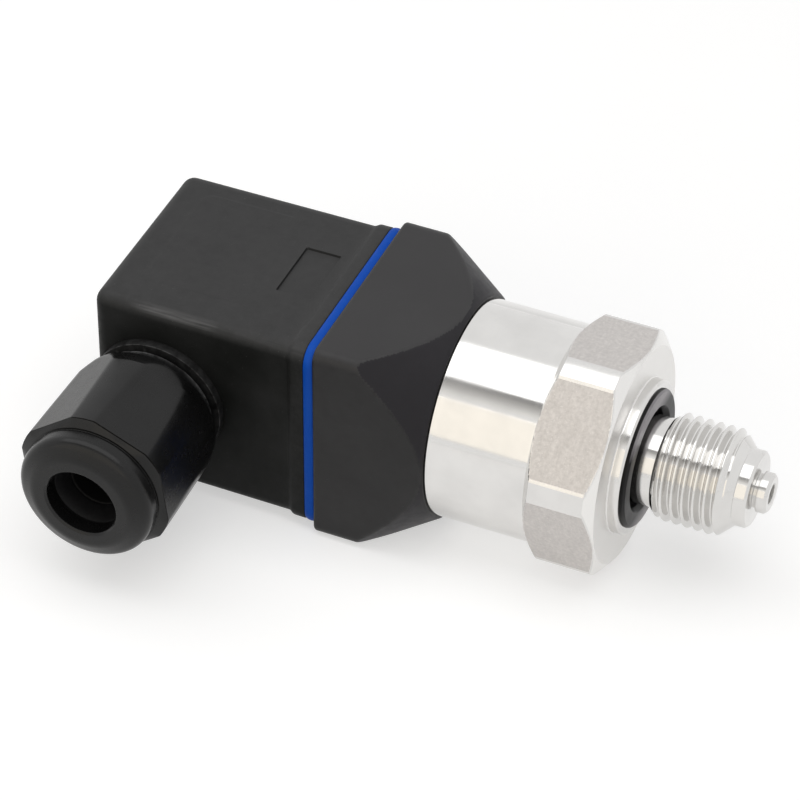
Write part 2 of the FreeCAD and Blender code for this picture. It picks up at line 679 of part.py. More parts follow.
def make_blades():
    """Flat pins moulded into the base, each with a chamfered tip and a tail to the board."""
    half = "(Sizes.blade_width / 2)"
    tail = "(Sizes.tail_width / 2)"
    tail_end = f"{BOARD_FRONT} + Sizes.tail_stand"
    for name, quarter in zip(BLADES, CONTACT_QUARTERS):
        body = add_body(name)
        sketch = add_sketch(body, f"{name}_outline", "XY_Plane",
                            f"{CONTACT_CIRCLE} - Sizes.blade_thickness / 2")
        draw_outline(sketch, [
            (BLADE_TIP, f"-{half} + Sizes.blade_chamfer"),
            (f"{BLADE_TIP} + Sizes.blade_chamfer", f"-{half}"),
            (PLATE_BACK, f"-{half}"),
            (PLATE_BACK, f"-{tail}"),
            (tail_end, f"-{tail}"),
            (tail_end, tail),
            (PLATE_BACK, tail),
            (PLATE_BACK, half),
            (f"{BLADE_TIP} + Sizes.blade_chamfer", half),
            (BLADE_TIP, f"{half} - Sizes.blade_chamfer"),
        ])
        extrude(body, "Pad", f"{name}_blade", sketch, "Sizes.blade_thickness")
        body.Placement = quarter_turn(quarter)


def quarter_turn(quarter):
    return FreeCAD.Placement(
        FreeCAD.Vector(), FreeCAD.Rotation(FreeCAD.Vector(1, 0, 0), 90 * quarter)
    )


def make_circuit_board():
    """Round board seated on the base's spigot, with its chip and capacitors."""
    body = add_body("circuit_board")
    outline = add_sketch(body, "board_sketch", "YZ_Plane", SPIGOT_END)
    draw_circle(outline, "0", "0", f"{TUBE_BORE} - Sizes.board_gap")
    extrude(body, "Pad", "board_disc", outline, "Sizes.board_thickness")
    hole = add_sketch(body, "tail_hole_sketch", "YZ_Plane", BOARD_FRONT)
    draw_circle(hole, "0", CONTACT_CIRCLE, "Sizes.tail_hole_radius")
    holes = extrude(body, "Pocket", "tail_hole", hole, "Sizes.board_thickness")
    repeat_round(body, "tail_holes", [holes], len(BLADES))
    chip = add_box(
        "signal_chip", ("Sizes.chip_height", "Sizes.chip_side", "Sizes.chip_side"),
        (BOARD_FRONT, "Sizes.chip_offset - Sizes.chip_side / 2",
         "Sizes.chip_offset - Sizes.chip_side / 2"),
    )
    chip.Label = "signal_chip"
    pieces.append(chip)
    sides = ("Sizes.capacitor_height", "Sizes.capacitor_length", "Sizes.capacitor_width")
    capacitors = []
    for index, (across, up) in enumerate(((-1, 1), (-1, -1), (1, -1)), start=1):
        corner = (
            BOARD_FRONT,
            f"{across} * Sizes.capacitor_offset - Sizes.capacitor_length / 2",
            f"{up} * Sizes.capacitor_offset - Sizes.capacitor_width / 2",
        )
        capacitors.append(add_box(f"board_capacitor_{index}", sides, corner))
    add_group("board_capacitors", capacitors)


def make_gasket():
    """Square flat gasket with an opening for the terminal block."""
    body = add_body("flat_gasket")
    sketch = add_sketch(body, "gasket_outer_sketch", "YZ_Plane", GASKET_FACE)
    draw_rounded_square(sketch, GASKET_HALF_WIDTH, GASKET_HALF_DEPTH,
                        f"(Sizes.plug_corner + {GASKET_PROUD})")
    extrude(body, "Pad", "gasket_sheet", sketch, "Sizes.gasket_thickness")
    opening = add_sketch(body, "gasket_opening_sketch", "YZ_Plane", BASE_FACE)
    draw_rounded_square(opening, f"({BLOCK_HALF_WIDTH} + Sizes.gasket_opening_gap)",
                        f"({BLOCK_HALF_DEPTH} + Sizes.gasket_opening_gap)", "Sizes.block_corner")
    extrude(body, "Pocket", "gasket_opening", opening, "Sizes.gasket_thickness")


def make_plug_housing():
    """Moulded housing: drafted box, rim at the mouth, screw boss in the crown, gland spigot."""
    body = add_body("plug_housing")
    walls = add_sketch(body, "housing_outline", "YZ_Plane", GASKET_FACE)
    draw_rounded_square(walls, "(Sizes.plug_width / 2)", "(Sizes.plug_depth / 2)",
                        "Sizes.plug_corner")
    box = extrude(body, "Pad", "housing_box", walls, "Sizes.plug_height", reverse=True)
    box.setExpression("TaperAngle", "-atan(Sizes.plug_draft / Sizes.plug_height)")
    round_edges(body, "crown_fillet", "Sizes.plug_crown_fillet",
                lambda edge: lies_at(edge, PLUG_CROWN))
    rim = add_sketch(body, "housing_rim_sketch", "YZ_Plane", GASKET_FACE)
    draw_rounded_square(rim, "(Sizes.plug_width / 2 + Sizes.rim_proud)",
                        "(Sizes.plug_depth / 2 + Sizes.rim_proud)",
                        "(Sizes.plug_corner + Sizes.rim_proud)")
    extrude(body, "Pad", "housing_rim", rim, "Sizes.rim_length", reverse=True)
    gland = [
        ("gland_collar", "Sizes.gland_thread_radius + Sizes.gland_collar_proud",
         "Sizes.gland_collar_height"),
        ("gland_thread", "Sizes.gland_thread_radius", "Sizes.gland_thread_length"),
    ]
    for name, radius, stand in gland:
        sketch = add_sketch(body, f"{name}_sketch", "XZ_Plane", CAVITY_HALF_WIDTH)
        draw_circle(sketch, GLAND_PLACE, "0", radius)
        extrude(body, "Pad", name, sketch, f"Sizes.plug_wall + {stand}")
    cavity = add_sketch(body, "housing_cavity_sketch", "YZ_Plane", GASKET_FACE)
    draw_rounded_square(cavity, CAVITY_HALF_WIDTH, CAVITY_HALF_DEPTH, "Sizes.block_corner")
    extrude(body, "Pocket", "housing_cavity", cavity, "Sizes.plug_height - Sizes.plug_crown")
    boss = add_sketch(body, "screw_boss_sketch", "YZ_Plane", CROWN_INNER)
    draw_circle(boss, "0", "0", "Sizes.screw_boss_radius")
    extrude(body, "Pad", "screw_boss", boss, "Sizes.screw_boss_length")
    boss_length = "(Sizes.plug_crown + Sizes.screw_boss_length)"
    for name, radius, depth in (
        ("screw_recess", "Sizes.screw_recess_radius", "Sizes.screw_recess_depth"),
        ("screw_hole", SCREW_HOLE, boss_length),
    ):
        sketch = add_sketch(body, f"{name}_sketch", "YZ_Plane", PLUG_CROWN)
        draw_circle(sketch, "0", "0", radius)
        extrude(body, "Pocket", name, sketch, depth, reverse=True)
    bore = add_sketch(body, "gland_bore_sketch", "XZ_Plane", GLAND_THREAD_END)
    draw_circle(bore, GLAND_PLACE, "0", GLAND_BORE)
    extrude(body, "Pocket", "gland_bore", bore,
            "Sizes.gland_thread_length + 2 * Sizes.plug_wall")


def make_terminal_block():
    """Moulded block with four sleeve pockets, screw holes and a socket for the base's pillar."""
    body = add_body("terminal_block")
    outline = add_sketch(body, "block_outline", "YZ_Plane", BLOCK_FACE)
    draw_rounded_square(outline, BLOCK_HALF_WIDTH, BLOCK_HALF_DEPTH, "Sizes.block_corner")
    extrude(body, "Pad", "block_body", outline, "Sizes.block_height", reverse=True)
    socket = add_sketch(body, "pillar_socket_sketch", "YZ_Plane", BLOCK_FACE)
    draw_circle(socket, "0", "0", "Sizes.pillar_radius + Sizes.pillar_gap")
    extrude(body, "Pocket", "pillar_socket", socket,
            f"{BLOCK_FACE} - {PILLAR_TIP} + Sizes.pillar_gap")
    hole = add_sketch(body, "block_screw_hole_sketch", "YZ_Plane", BLOCK_FACE)
    draw_circle(hole, "0", "0", SCREW_HOLE)
    extrude(body, "Pocket", "block_screw_hole", hole, "Sizes.block_height")
    pocket = add_sketch(body, "sleeve_pocket_sketch", "YZ_Plane", BLOCK_FACE)
    draw_blade_slot(pocket, f"({SLEEVE_HALF_WIDTH} + Sizes.pocket_gap)",
                    f"({SLEEVE_HALF_HEIGHT} + Sizes.pocket_gap)")
    sleeve_pocket = extrude(body, "Pocket", "sleeve_pocket", pocket, "Sizes.block_height")
    clamp = add_sketch(body, "clamp_hole_sketch", "YZ_Plane", BLOCK_TOP)
    draw_circle(clamp, "0", CLAMP_CIRCLE, "Sizes.clamp_radius + Sizes.pocket_gap")
    clamp_hole = extrude(body, "Pocket", "clamp_hole", clamp,
                         "Sizes.clamp_length + Sizes.pocket_gap", reverse=True)
    repeat_round(body, "block_contacts", [sleeve_pocket, clamp_hole], len(SLEEVES))


def make_sleeves():
    """Contact sleeves, each closed by a tab that its clamping screw holds to the block."""
    for name, quarter in zip(SLEEVES, CONTACT_QUARTERS):
        body = add_body(name)
        sketch = add_sketch(body, f"{name}_section", "YZ_Plane", SLEEVE_MOUTH)
        draw_blade_slot(sketch, SLEEVE_HALF_WIDTH, SLEEVE_HALF_HEIGHT)
        draw_blade_slot(sketch, SLEEVE_BORE_WIDTH, SLEEVE_BORE_HEIGHT)
        extrude(body, "Pad", f"{name}_sleeve", sketch, f"{SLEEVE_MOUTH} - {BLOCK_TOP}",
                reverse=True)
        tab = add_sketch(body, f"{name}_tab_sketch", "YZ_Plane", BLOCK_TOP)
        draw_rectangle(tab, "-Sizes.tab_width / 2", "Sizes.tab_width / 2",
                       f"{CLAMP_CIRCLE} - Sizes.tab_reach",
                       f"{CONTACT_CIRCLE} + {SLEEVE_HALF_HEIGHT}")
        draw_circle(tab, "0", CLAMP_CIRCLE, "Sizes.clamp_radius + Sizes.pocket_gap")
        extrude(body, "Pad", f"{name}_tab", tab, "Sizes.tab_thickness", reverse=True)
        body.Placement = quarter_turn(quarter)
    screws = [make_clamp_screw(index) for index in range(len(SLEEVES))]
    add_group("terminal_screws", screws)


def make_clamp_screw(index):
    """One slotted clamping screw on the contact tab of a quarter."""
    angle = 90 * index
    across = f"{CLAMP_CIRCLE} * sin({angle})"
    up = f"{CLAMP_CIRCLE} * cos({angle})"
    shank = add_cylinder(f"clamp_shank_{index + 1}", "Sizes.clamp_radius",
                         "Sizes.clamp_length + Sizes.tab_thickness", TAB_TOP, across, up)
    head_top = f"({TAB_TOP} - Sizes.clamp_head_height)"
    head = add_cylinder(f"clamp_head_{index + 1}", "Sizes.clamp_head_radius",
                        "Sizes.clamp_head_height", head_top, across, up)
    screw = doc.addObject("Part::Fuse", f"clamp_screw_{index + 1}")
    screw.Base = head
    screw.Tool = shank
    slot = add_box(
        f"clamp_slot_{index + 1}",
        ("Sizes.clamp_slot_depth", "2 * Sizes.clamp_head_radius", "Sizes.clamp_slot_width"),
        (head_top, f"{across} - Sizes.clamp_head_radius",
         f"{up} - Sizes.clamp_slot_width / 2"),
    )
    slotted = doc.addObject("Part::Cut", f"slotted_screw_{index + 1}")
    slotted.Base = screw
    slotted.Tool = slot
    return slotted


def make_fixing_screw():
    """Slotted screw through the plug into the base's insert, with a sealing washer."""
    head_top = f"({HEAD_SEAT} - Sizes.screw_head_height)"
    body = turn_piece("fixing_screw", [
        (head_top, "0"),
        (head_top, "Sizes.screw_head_radius - Sizes.screw_tip_chamfer"),
        (f"{head_top} + Sizes.screw_tip_chamfer", "Sizes.screw_head_radius"),
        (HEAD_SEAT, "Sizes.screw_head_radius"),
        (HEAD_SEAT, "Sizes.screw_radius"),
        (f"{SCREW_TIP} - Sizes.screw_tip_chamfer", "Sizes.screw_radius"),
        (SCREW_TIP, "Sizes.screw_radius - Sizes.screw_tip_chamfer"),
        (SCREW_TIP, "0"),
    ])
    slot = add_sketch(body, "screw_slot_sketch", "YZ_Plane", head_top)
    draw_rectangle(slot, "-Sizes.screw_head_radius * 1.2", "Sizes.screw_head_radius * 1.2",
                   "-Sizes.screw_slot_width / 2", "Sizes.screw_slot_width / 2")
    extrude(body, "Pocket", "screw_slot", slot, "Sizes.screw_slot_depth", reverse=True)
    turn_piece("screw_washer", [
        (HEAD_SEAT, INSERT_BORE),
        (HEAD_SEAT, "Sizes.washer_radius"),
        (RECESS_FLOOR, "Sizes.washer_radius"),
        (RECESS_FLOOR, INSERT_BORE),
    ])


def make_gland():
    """Gland nut with a domed nose, the ring that it presses and the rubber seal behind it."""
    opening = "Sizes.nut_opening_radius"
    bevel = "Sizes.nut_opening_chamfer"
    thread_bore = "(Sizes.gland_thread_radius + Sizes.nut_thread_fit)"
    seat_radius = f"({thread_bore} - Sizes.nut_seat_step)"
    seat_rear = f"({NUT_SEAT} - Sizes.nut_seat_length)"
    groove_radius = f"{NUT_HEX_RADIUS} - Sizes.nut_groove_inset"
    roll_start = f"({NUT_FRONT} - Sizes.dome_roll_length)"
    roll_end = f"({DOME_RADIUS} - Sizes.dome_roll_depth)"
    nut = turn_piece("gland_nut", [
        (NUT_REAR, thread_bore),
        (NUT_REAR, NUT_REAR_RADIUS),
        (NUT_SHOULDER, NUT_HEX_RADIUS),
        (SHOULDER_END, f"{NUT_HEX_RADIUS} - Sizes.nut_shoulder_inset"),
        (SHOULDER_END, groove_radius),
        (DOME_ROOT, groove_radius),
        (f"{DOME_ROOT} + Sizes.nut_groove_length", DOME_RADIUS),
        (roll_start, DOME_RADIUS),
        (NUT_FRONT, roll_end),
        (NUT_FRONT, f"{opening} + {bevel}"),
        (f"{NUT_FRONT} - {bevel}", opening),
        (NUT_SEAT, opening),
        (NUT_SEAT, seat_radius),
        (seat_rear, seat_radius),
        (f"{seat_rear} - Sizes.nut_seat_step", thread_bore),
    ])
    round_edges(
        nut, "dome_fillet", "Sizes.dome_fillet",
        lambda edge: is_ring(edge, roll_start, DOME_RADIUS) or is_ring(edge, NUT_FRONT, roll_end),
    )
    mill_hexagon(
        nut, "nut_flats", f"(2 * {NUT_REAR_RADIUS})", "Sizes.nut_turn", NUT_HEX_RADIUS,
        SHOULDER_END, f"{SHOULDER_END} - {NUT_REAR}",
    )
    stand_on_gland(nut)
    ring_radius = f"({seat_radius} - Sizes.thrust_ring_gap)"
    ring = turn_piece("gland_thrust_ring", [
        (THRUST_RING_REAR, "Sizes.thrust_ring_bore"),
        (THRUST_RING_REAR, ring_radius),
        (NUT_SEAT, ring_radius),
        (NUT_SEAT, f"{opening} - Sizes.thrust_ring_gap"),
        (f"{NUT_SEAT} - Sizes.thrust_ring_funnel", "Sizes.thrust_ring_bore"),
    ])
    stand_on_gland(ring)
    barrel = f"({GLAND_BORE} - Sizes.gland_seal_gap)"
    seal = turn_piece("gland_seal", [
        (GLAND_SEAL_REAR, "Sizes.gland_seal_bore"),
        (GLAND_SEAL_REAR, barrel),
        (GLAND_THREAD_END, barrel),
        (GLAND_THREAD_END, ring_radius),
        (THRUST_RING_REAR, ring_radius),
        (THRUST_RING_REAR, "Sizes.gland_seal_bore"),
    ])
    stand_on_gland(seal)


def check_document():
    """Stops on a failed object, an empty or invalid shape, or a feature that changes nothing."""
    for item in doc.Objects:
        if {"Invalid", "Error"} & set(item.State):
            raise RuntimeError(f"{item.Name} failed: {item.State}")
    for piece in pieces:
        if piece.Shape.isNull() or not piece.Shape.isValid() or not piece.Shape.Solids:
            raise RuntimeError(f"{piece.Label} has no valid solid")
        if not piece.isDerivedFrom("PartDesign::Body"):
            continue
        features = [item for item in piece.Group if item.isDerivedFrom("PartDesign::Feature")]
        for before, after in zip(features, features[1:]):
            if abs(after.Shape.Volume - before.Shape.Volume) < 1e-3:
                raise RuntimeError(f"{after.Name} leaves {piece.Label} as it was")


def main():
    make_process_connection()
    make_process_seal()
    make_measuring_cell()
    make_case_tube()
    make_connector_base()
    make_blades()
    make_circuit_board()
    make_gasket()
    make_plug_housing()
    make_terminal_block()
    make_sleeves()
    make_fixing_screw()
    make_gland()
    doc.recompute()
    check_document()
    os.makedirs("parts", exist_ok=True)
    for piece in pieces:
        piece.Shape.exportStep(f"parts/{piece.Label}.step")
        print(f"{piece.Label}: {piece.Shape.Volume:.1f} mm3, {len(piece.Shape.Solids)} solid(s)")


main()
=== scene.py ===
import math

import bmesh
import bpy
import numpy as np
from mathutils import Matrix, Vector


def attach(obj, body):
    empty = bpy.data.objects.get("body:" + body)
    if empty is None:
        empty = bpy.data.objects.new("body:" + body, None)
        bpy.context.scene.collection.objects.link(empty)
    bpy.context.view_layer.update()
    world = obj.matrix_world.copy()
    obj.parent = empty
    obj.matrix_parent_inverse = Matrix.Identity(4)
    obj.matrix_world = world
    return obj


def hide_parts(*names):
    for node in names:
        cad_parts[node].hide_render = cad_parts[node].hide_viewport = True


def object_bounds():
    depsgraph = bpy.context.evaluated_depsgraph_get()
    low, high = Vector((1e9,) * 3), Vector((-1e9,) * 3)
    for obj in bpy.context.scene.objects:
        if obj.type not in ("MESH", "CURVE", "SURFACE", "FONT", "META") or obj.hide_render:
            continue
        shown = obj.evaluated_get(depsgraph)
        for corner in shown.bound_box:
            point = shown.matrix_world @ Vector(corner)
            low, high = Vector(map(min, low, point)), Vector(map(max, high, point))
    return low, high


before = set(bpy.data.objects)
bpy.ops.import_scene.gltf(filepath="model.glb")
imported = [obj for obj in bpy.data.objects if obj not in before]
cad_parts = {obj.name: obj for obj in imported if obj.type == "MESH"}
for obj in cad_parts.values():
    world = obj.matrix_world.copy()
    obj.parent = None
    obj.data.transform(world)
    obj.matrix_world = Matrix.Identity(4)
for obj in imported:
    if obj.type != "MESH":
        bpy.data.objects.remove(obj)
cad_low, cad_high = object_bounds()

# Shapes are in millimetres up to the step that makes a mesh. Lamps, card and camera are in metres
MM = 0.001
TURN = 2 * math.pi

# Places along the transmitter's axis X, from the sealing face
PIN_END = 15.75
PIN_ROOT_END = 14.45
NOSE_END = 13.95
TIP_END = 12.35
THREAD_END = 10.6
NECK_END = 3.4
RUNOUT_START = 2.3
SEAL_GROOVE_FLOOR = -1.3
COLLAR_FRONT = -1.4
LAND_PLACE = -1.5
CELL_FLOOR = -4.4
COLLAR_BACK = -9.24
SKIRT_BACK = -10.25
JOINT_BACK = -12.04
BASE_SPIGOT_END = -18.34
TUBE_BACK = -22.84
PLATE_BACK = -33.41
BASE_FACE = -36.91
GASKET_FACE = -38.21
PILLAR_TIP = -42.31
GLAND_PLACE = -57.31
RECESS_FLOOR = -62.71
CROWN_INNER = -64.21
PLUG_CROWN = -65.91

# Places along the gland's axis, outwards from the transmitter's axis
PLUG_SIDE = 13.3
FOOT_START = PLUG_SIDE - 1.2
FOOT_END = PLUG_SIDE + 1.0
GLAND_THREAD_END = 24.3
NUT_REAR = 16.8
NUT_CHAMFER_END = NUT_REAR + 1.8
NUT_SHOULDER = 30.46
SHOULDER_END = 31.06
DOME_ROOT = 31.26
DOME_ROLL = 33.36
NUT_FRONT = 34.36
NUT_SEAT = 32.11
THRUST_RING_REAR = 29.96
GLAND_SEAL_REAR = 17.46

# Radii, half widths over the flats, and the threads' other sizes
TUBE_RADIUS = 13.5
TUBE_BORE = 12.5
CELL_BORE = 9.2
COLLAR_RADIUS = 15.1
COLLAR_FLAT = 13.65
COLLAR_TURN = math.radians(-12.95)
BOSS_RADIUS = 9.5
SEAL_GROOVE_RADIUS = 8.55
SEAL_BORE = 6.2
NECK_RADIUS = 5.45
THREAD_RADIUS = 6.5785
THREAD_PITCH = 1.337
THREAD_CREST = 3.79
TIP_RADIUS = 4.85
NOSE_RADIUS = 4.73
PIN_RADIUS = 2.5
PIN_ROOT_RADIUS = 2.1
PORT_RADIUS = 1.25
NUT_FLAT = 9.1
NUT_CHAMFER_RADIUS = 9.5
NUT_ROUND = 9.78
NUT_SHOULDER_RADIUS = 8.68
NUT_NECK_RADIUS = 8.43
NUT_DOME_RADIUS = 8.53
NUT_DOME_ROLL = 2.2
NUT_MOUTH_RADIUS = 4.46
NUT_BORE = 6.95
NUT_THREAD_BORE = 8.05
NUT_GROOVE_HALF, NUT_GROOVE_DEPTH = 0.1, 0.2
NUT_TURN = math.radians(37.0)
FOOT_RADIUS = 8.42
SPIGOT_BORE = 6.6
SPIGOT_ROOT = 7.0
GLAND_THREAD_RADIUS = 8.0
GLAND_PITCH = 1.5
THRUST_RING_RADIUS = 6.85
THRUST_RING_BORE = 3.4
GLAND_SEAL_RADIUS = 6.5
GLAND_SEAL_BORE = 3.25

# The collar's flats meet its lands and chamfers at small angles, so its edges are sharp from a
# smaller angle: a radius that only the collar and the tube's joint reach, and that angle
COLLAR_EDGES = (13.0, 25)
# The wear that a bend of one radian brings, where 1 is the most
WEAR_PER_BEND = 2.2


# Meshes
def soften(corners, steps=5):
    """A closed line of (along, radius, rounding) corners, with an arc at each rounded corner."""
    line = []
    count = len(corners)
    for index, (a, b, rounding) in enumerate(corners):
        here = Vector((a, b))
        if rounding <= 0:
            line.append((a, b))
            continue
        before = Vector(corners[index - 1][:2]) - here
        after = Vector(corners[(index + 1) % count][:2]) - here
        half = before.angle(after) / 2
        reach = min(rounding / math.tan(half), 0.49 * before.length, 0.49 * after.length)
        start = here + before.normalized() * reach
        end = here + after.normalized() * reach
        for step in range(steps + 1):
            t = step / steps
            point = start * (1 - t) ** 2 + here * 2 * t * (1 - t) + end * t ** 2
            line.append((point.x, point.y))
    return line


def divide(line, longest, closed=True, chamfer=None):
    """The same line with no run longer than a length.

    Where chamfer is given, it is the length for the collar's slanted runs, outside the tube.
    """
    made = []
    count = len(line)
    for index in range(count if closed else count - 1):
        a, b = line[index], line[(index + 1) % count]
        slanted = min(a[1], b[1]) > TUBE_RADIUS - 0.15 and abs(a[1] - b[1]) > 0.05
        bound = chamfer if chamfer and slanted else longest
        pieces = max(1, math.ceil(math.dist(a, b) / bound))
        for step in range(pieces):
            t = step / pieces
            made.append((a[0] + (b[0] - a[0]) * t, a[1] + (b[1] - a[1]) * t))
    if not closed:
        made.append(line[-1])
    return made


def smooth_min(a, b, width):
    h = np.maximum(width - np.abs(a - b), 0) / width
    return np.minimum(a, b) - h * h * width / 4


def angles_round(count, snapped=()):
    """Angles from 0 to a full turn, with the nearest one moved to each snapped angle."""
    angles = np.linspace(0, TURN, count + 1)
    for angle in snapped:
        angle %= TURN
        nearest = 1 + int(np.argmin(np.abs(angles[1:-1] - angle)))
        angles[nearest] = angle
    return angles


def about_x(along, radius, angles):
    """Points round the X axis. Angles run from +Z towards -Y."""
    along, radius, angles = np.broadcast_arrays(along, radius, angles)
    return np.stack([along, -radius * np.sin(angles), radius * np.cos(angles)], -1)


def about_gland(along, radius, angles):
    """Points round the gland's axis, which leaves the plug's side towards -Y."""
    points = about_x(along, radius, angles)
    return np.stack([points[..., 1] + GLAND_PLACE, -points[..., 0], points[..., 2]], -1)


def skin(name, body, grid, closed=True, slots=None, sharp=32, replaces=(), slot=None, outer=None):
    """A mesh through rows of points, each row going once round. closed joins last row and first."""
    grid = np.asarray(grid, float)
    rows, columns = grid.shape[:2]
    index = np.arange(rows * columns).reshape(rows, columns)
    following = np.roll(index, -1, 0) if closed else index[1:]
    here = index if closed else index[:-1]
    faces = np.stack([here[:, :-1], here[:, 1:], following[:, 1:], following[:, :-1]], -1)
    mesh = bpy.data.meshes.new(name)
    mesh.from_pydata((grid.reshape(-1, 3) * MM).tolist(), [], faces.reshape(-1, 4).tolist())
    if slots is not None:
        mesh.polygons.foreach_set("material_index", np.asarray(slots).astype(np.int32).ravel())
    made = bpy.data.objects.new(name, mesh)
    bpy.context.scene.collection.objects.link(made)
    finish_mesh(made, sharp, outer)
    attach(made, body)
    if replaces:
        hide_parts(*replaces)
    return made


def finish_mesh(made, sharp, outer=None):
    """Welds, turns the normals outwards, marks sharp edges and writes how exposed each edge is.

    sharp is the angle from which an edge is sharp. outer is a radius about X, and the angle for
    the edges outside it.
    """
    work = bmesh.new()
    work.from_mesh(made.data)
    bmesh.ops.remove_doubles(work, verts=work.verts, dist=0.002 * MM)
    bmesh.ops.dissolve_degenerate(work, edges=work.edges, dist=0.0005 * MM)
    bmesh.ops.recalc_face_normals(work, faces=work.faces)
    for face in work.faces:
        face.smooth = True
    for edge in work.edges:
        bound = math.radians(sharp)
        if outer and all(math.hypot(*vertex.co.yz) > outer[0] * MM for vertex in edge.verts):
            bound = math.radians(outer[1])
        edge.smooth = len(edge.link_faces) != 2 or edge.calc_face_angle(0) < bound
    exposed = []
    for vertex in work.verts:
        bends = [edge.calc_face_angle_signed(0) for edge in vertex.link_edges
                 if len(edge.link_faces) == 2]
        exposed.append(max(bends, default=0) * WEAR_PER_BEND)
    work.to_mesh(made.data)
    work.free()
    attribute = made.data.attributes.new("wear", "FLOAT", "POINT")
    attribute.data.foreach_set("value", np.clip(exposed, 0, 1).astype(np.float32))


def lathe(name, body, corners, count=160, place=about_x, longest=None, **rest):
    line = soften(corners)
    if longest:
        line = divide(line, longest)
    line = np.array(line)
    grid = place(line[:, :1], line[:, 1:], angles_round(count)[None, :])
    return skin(name, body, grid, **rest)


def hex_reach(angles, flat, turn):
    """Distance from the axis to the nearest flat's plane, in each direction."""
    away = (angles - turn + math.pi / 6) % (math.pi / 3) - math.pi / 6
    return flat / np.cos(away)


def flat_edges(radius, flat, turn):
    """The angles at which a hexagon's flats run out into its round."""
    half = math.acos(flat / radius)
    return [turn + k * math.pi / 3 + side * half for k in range(6) for side in (-1, 1)]


def whitworth(radius, pitch, samples):
    """One pitch of a 55 degree thread with rounded crests and roots: places along it and radii."""
    depth = 0.640327 * pitch
    rounding = 0.137329 * pitch
    lean = math.radians(27.5)
    reach = rounding * math.cos(lean)
    drop = rounding * (1 - math.sin(lean))
    places = np.linspace(0, pitch, samples, endpoint=False)
    away = np.minimum(places, pitch - places)
    crest = radius - rounding + np.sqrt(np.maximum(rounding ** 2 - away ** 2, 0))
    root_away = pitch / 2 - away
    root = radius - depth + rounding - np.sqrt(np.maximum(rounding ** 2 - root_away ** 2, 0))
    flank = radius - drop - (away - reach) / math.tan(lean)
    return places, np.where(away < reach, crest, np.where(root_away < reach, root, flank))


def thread_rows(radius, pitch, start, end, envelope, angles, crest=0.0, samples=16):
    """Places and radii of a right-hand helix with a crest at one place on the line of angle 0."""
    places, radii = whitworth(radius, pitch, samples)
    first = math.floor((start - crest) / pitch) - 1
    turns = math.ceil((end - start) / pitch) + 2
    along = np.concatenate([crest + (first + k) * pitch + places for k in range(turns)])
    tall = np.tile(radii, turns)
    shifted = along[:, None] + pitch * angles[None, :] / TURN
    held = np.clip(shifted, start, end)
    return held, np.minimum(tall[:, None], envelope(held))


def stacked(before, threaded, after, angles):
    """Places and radii of a line of points, the rows of a thread and a second line of points."""
    before, after = np.array(before), np.array(after)
    return tuple(
        np.concatenate([np.repeat(before[:, [k]], len(angles), 1), threaded[k],
                        np.repeat(after[:, [k]], len(angles), 1)])
        for k in (0, 1))


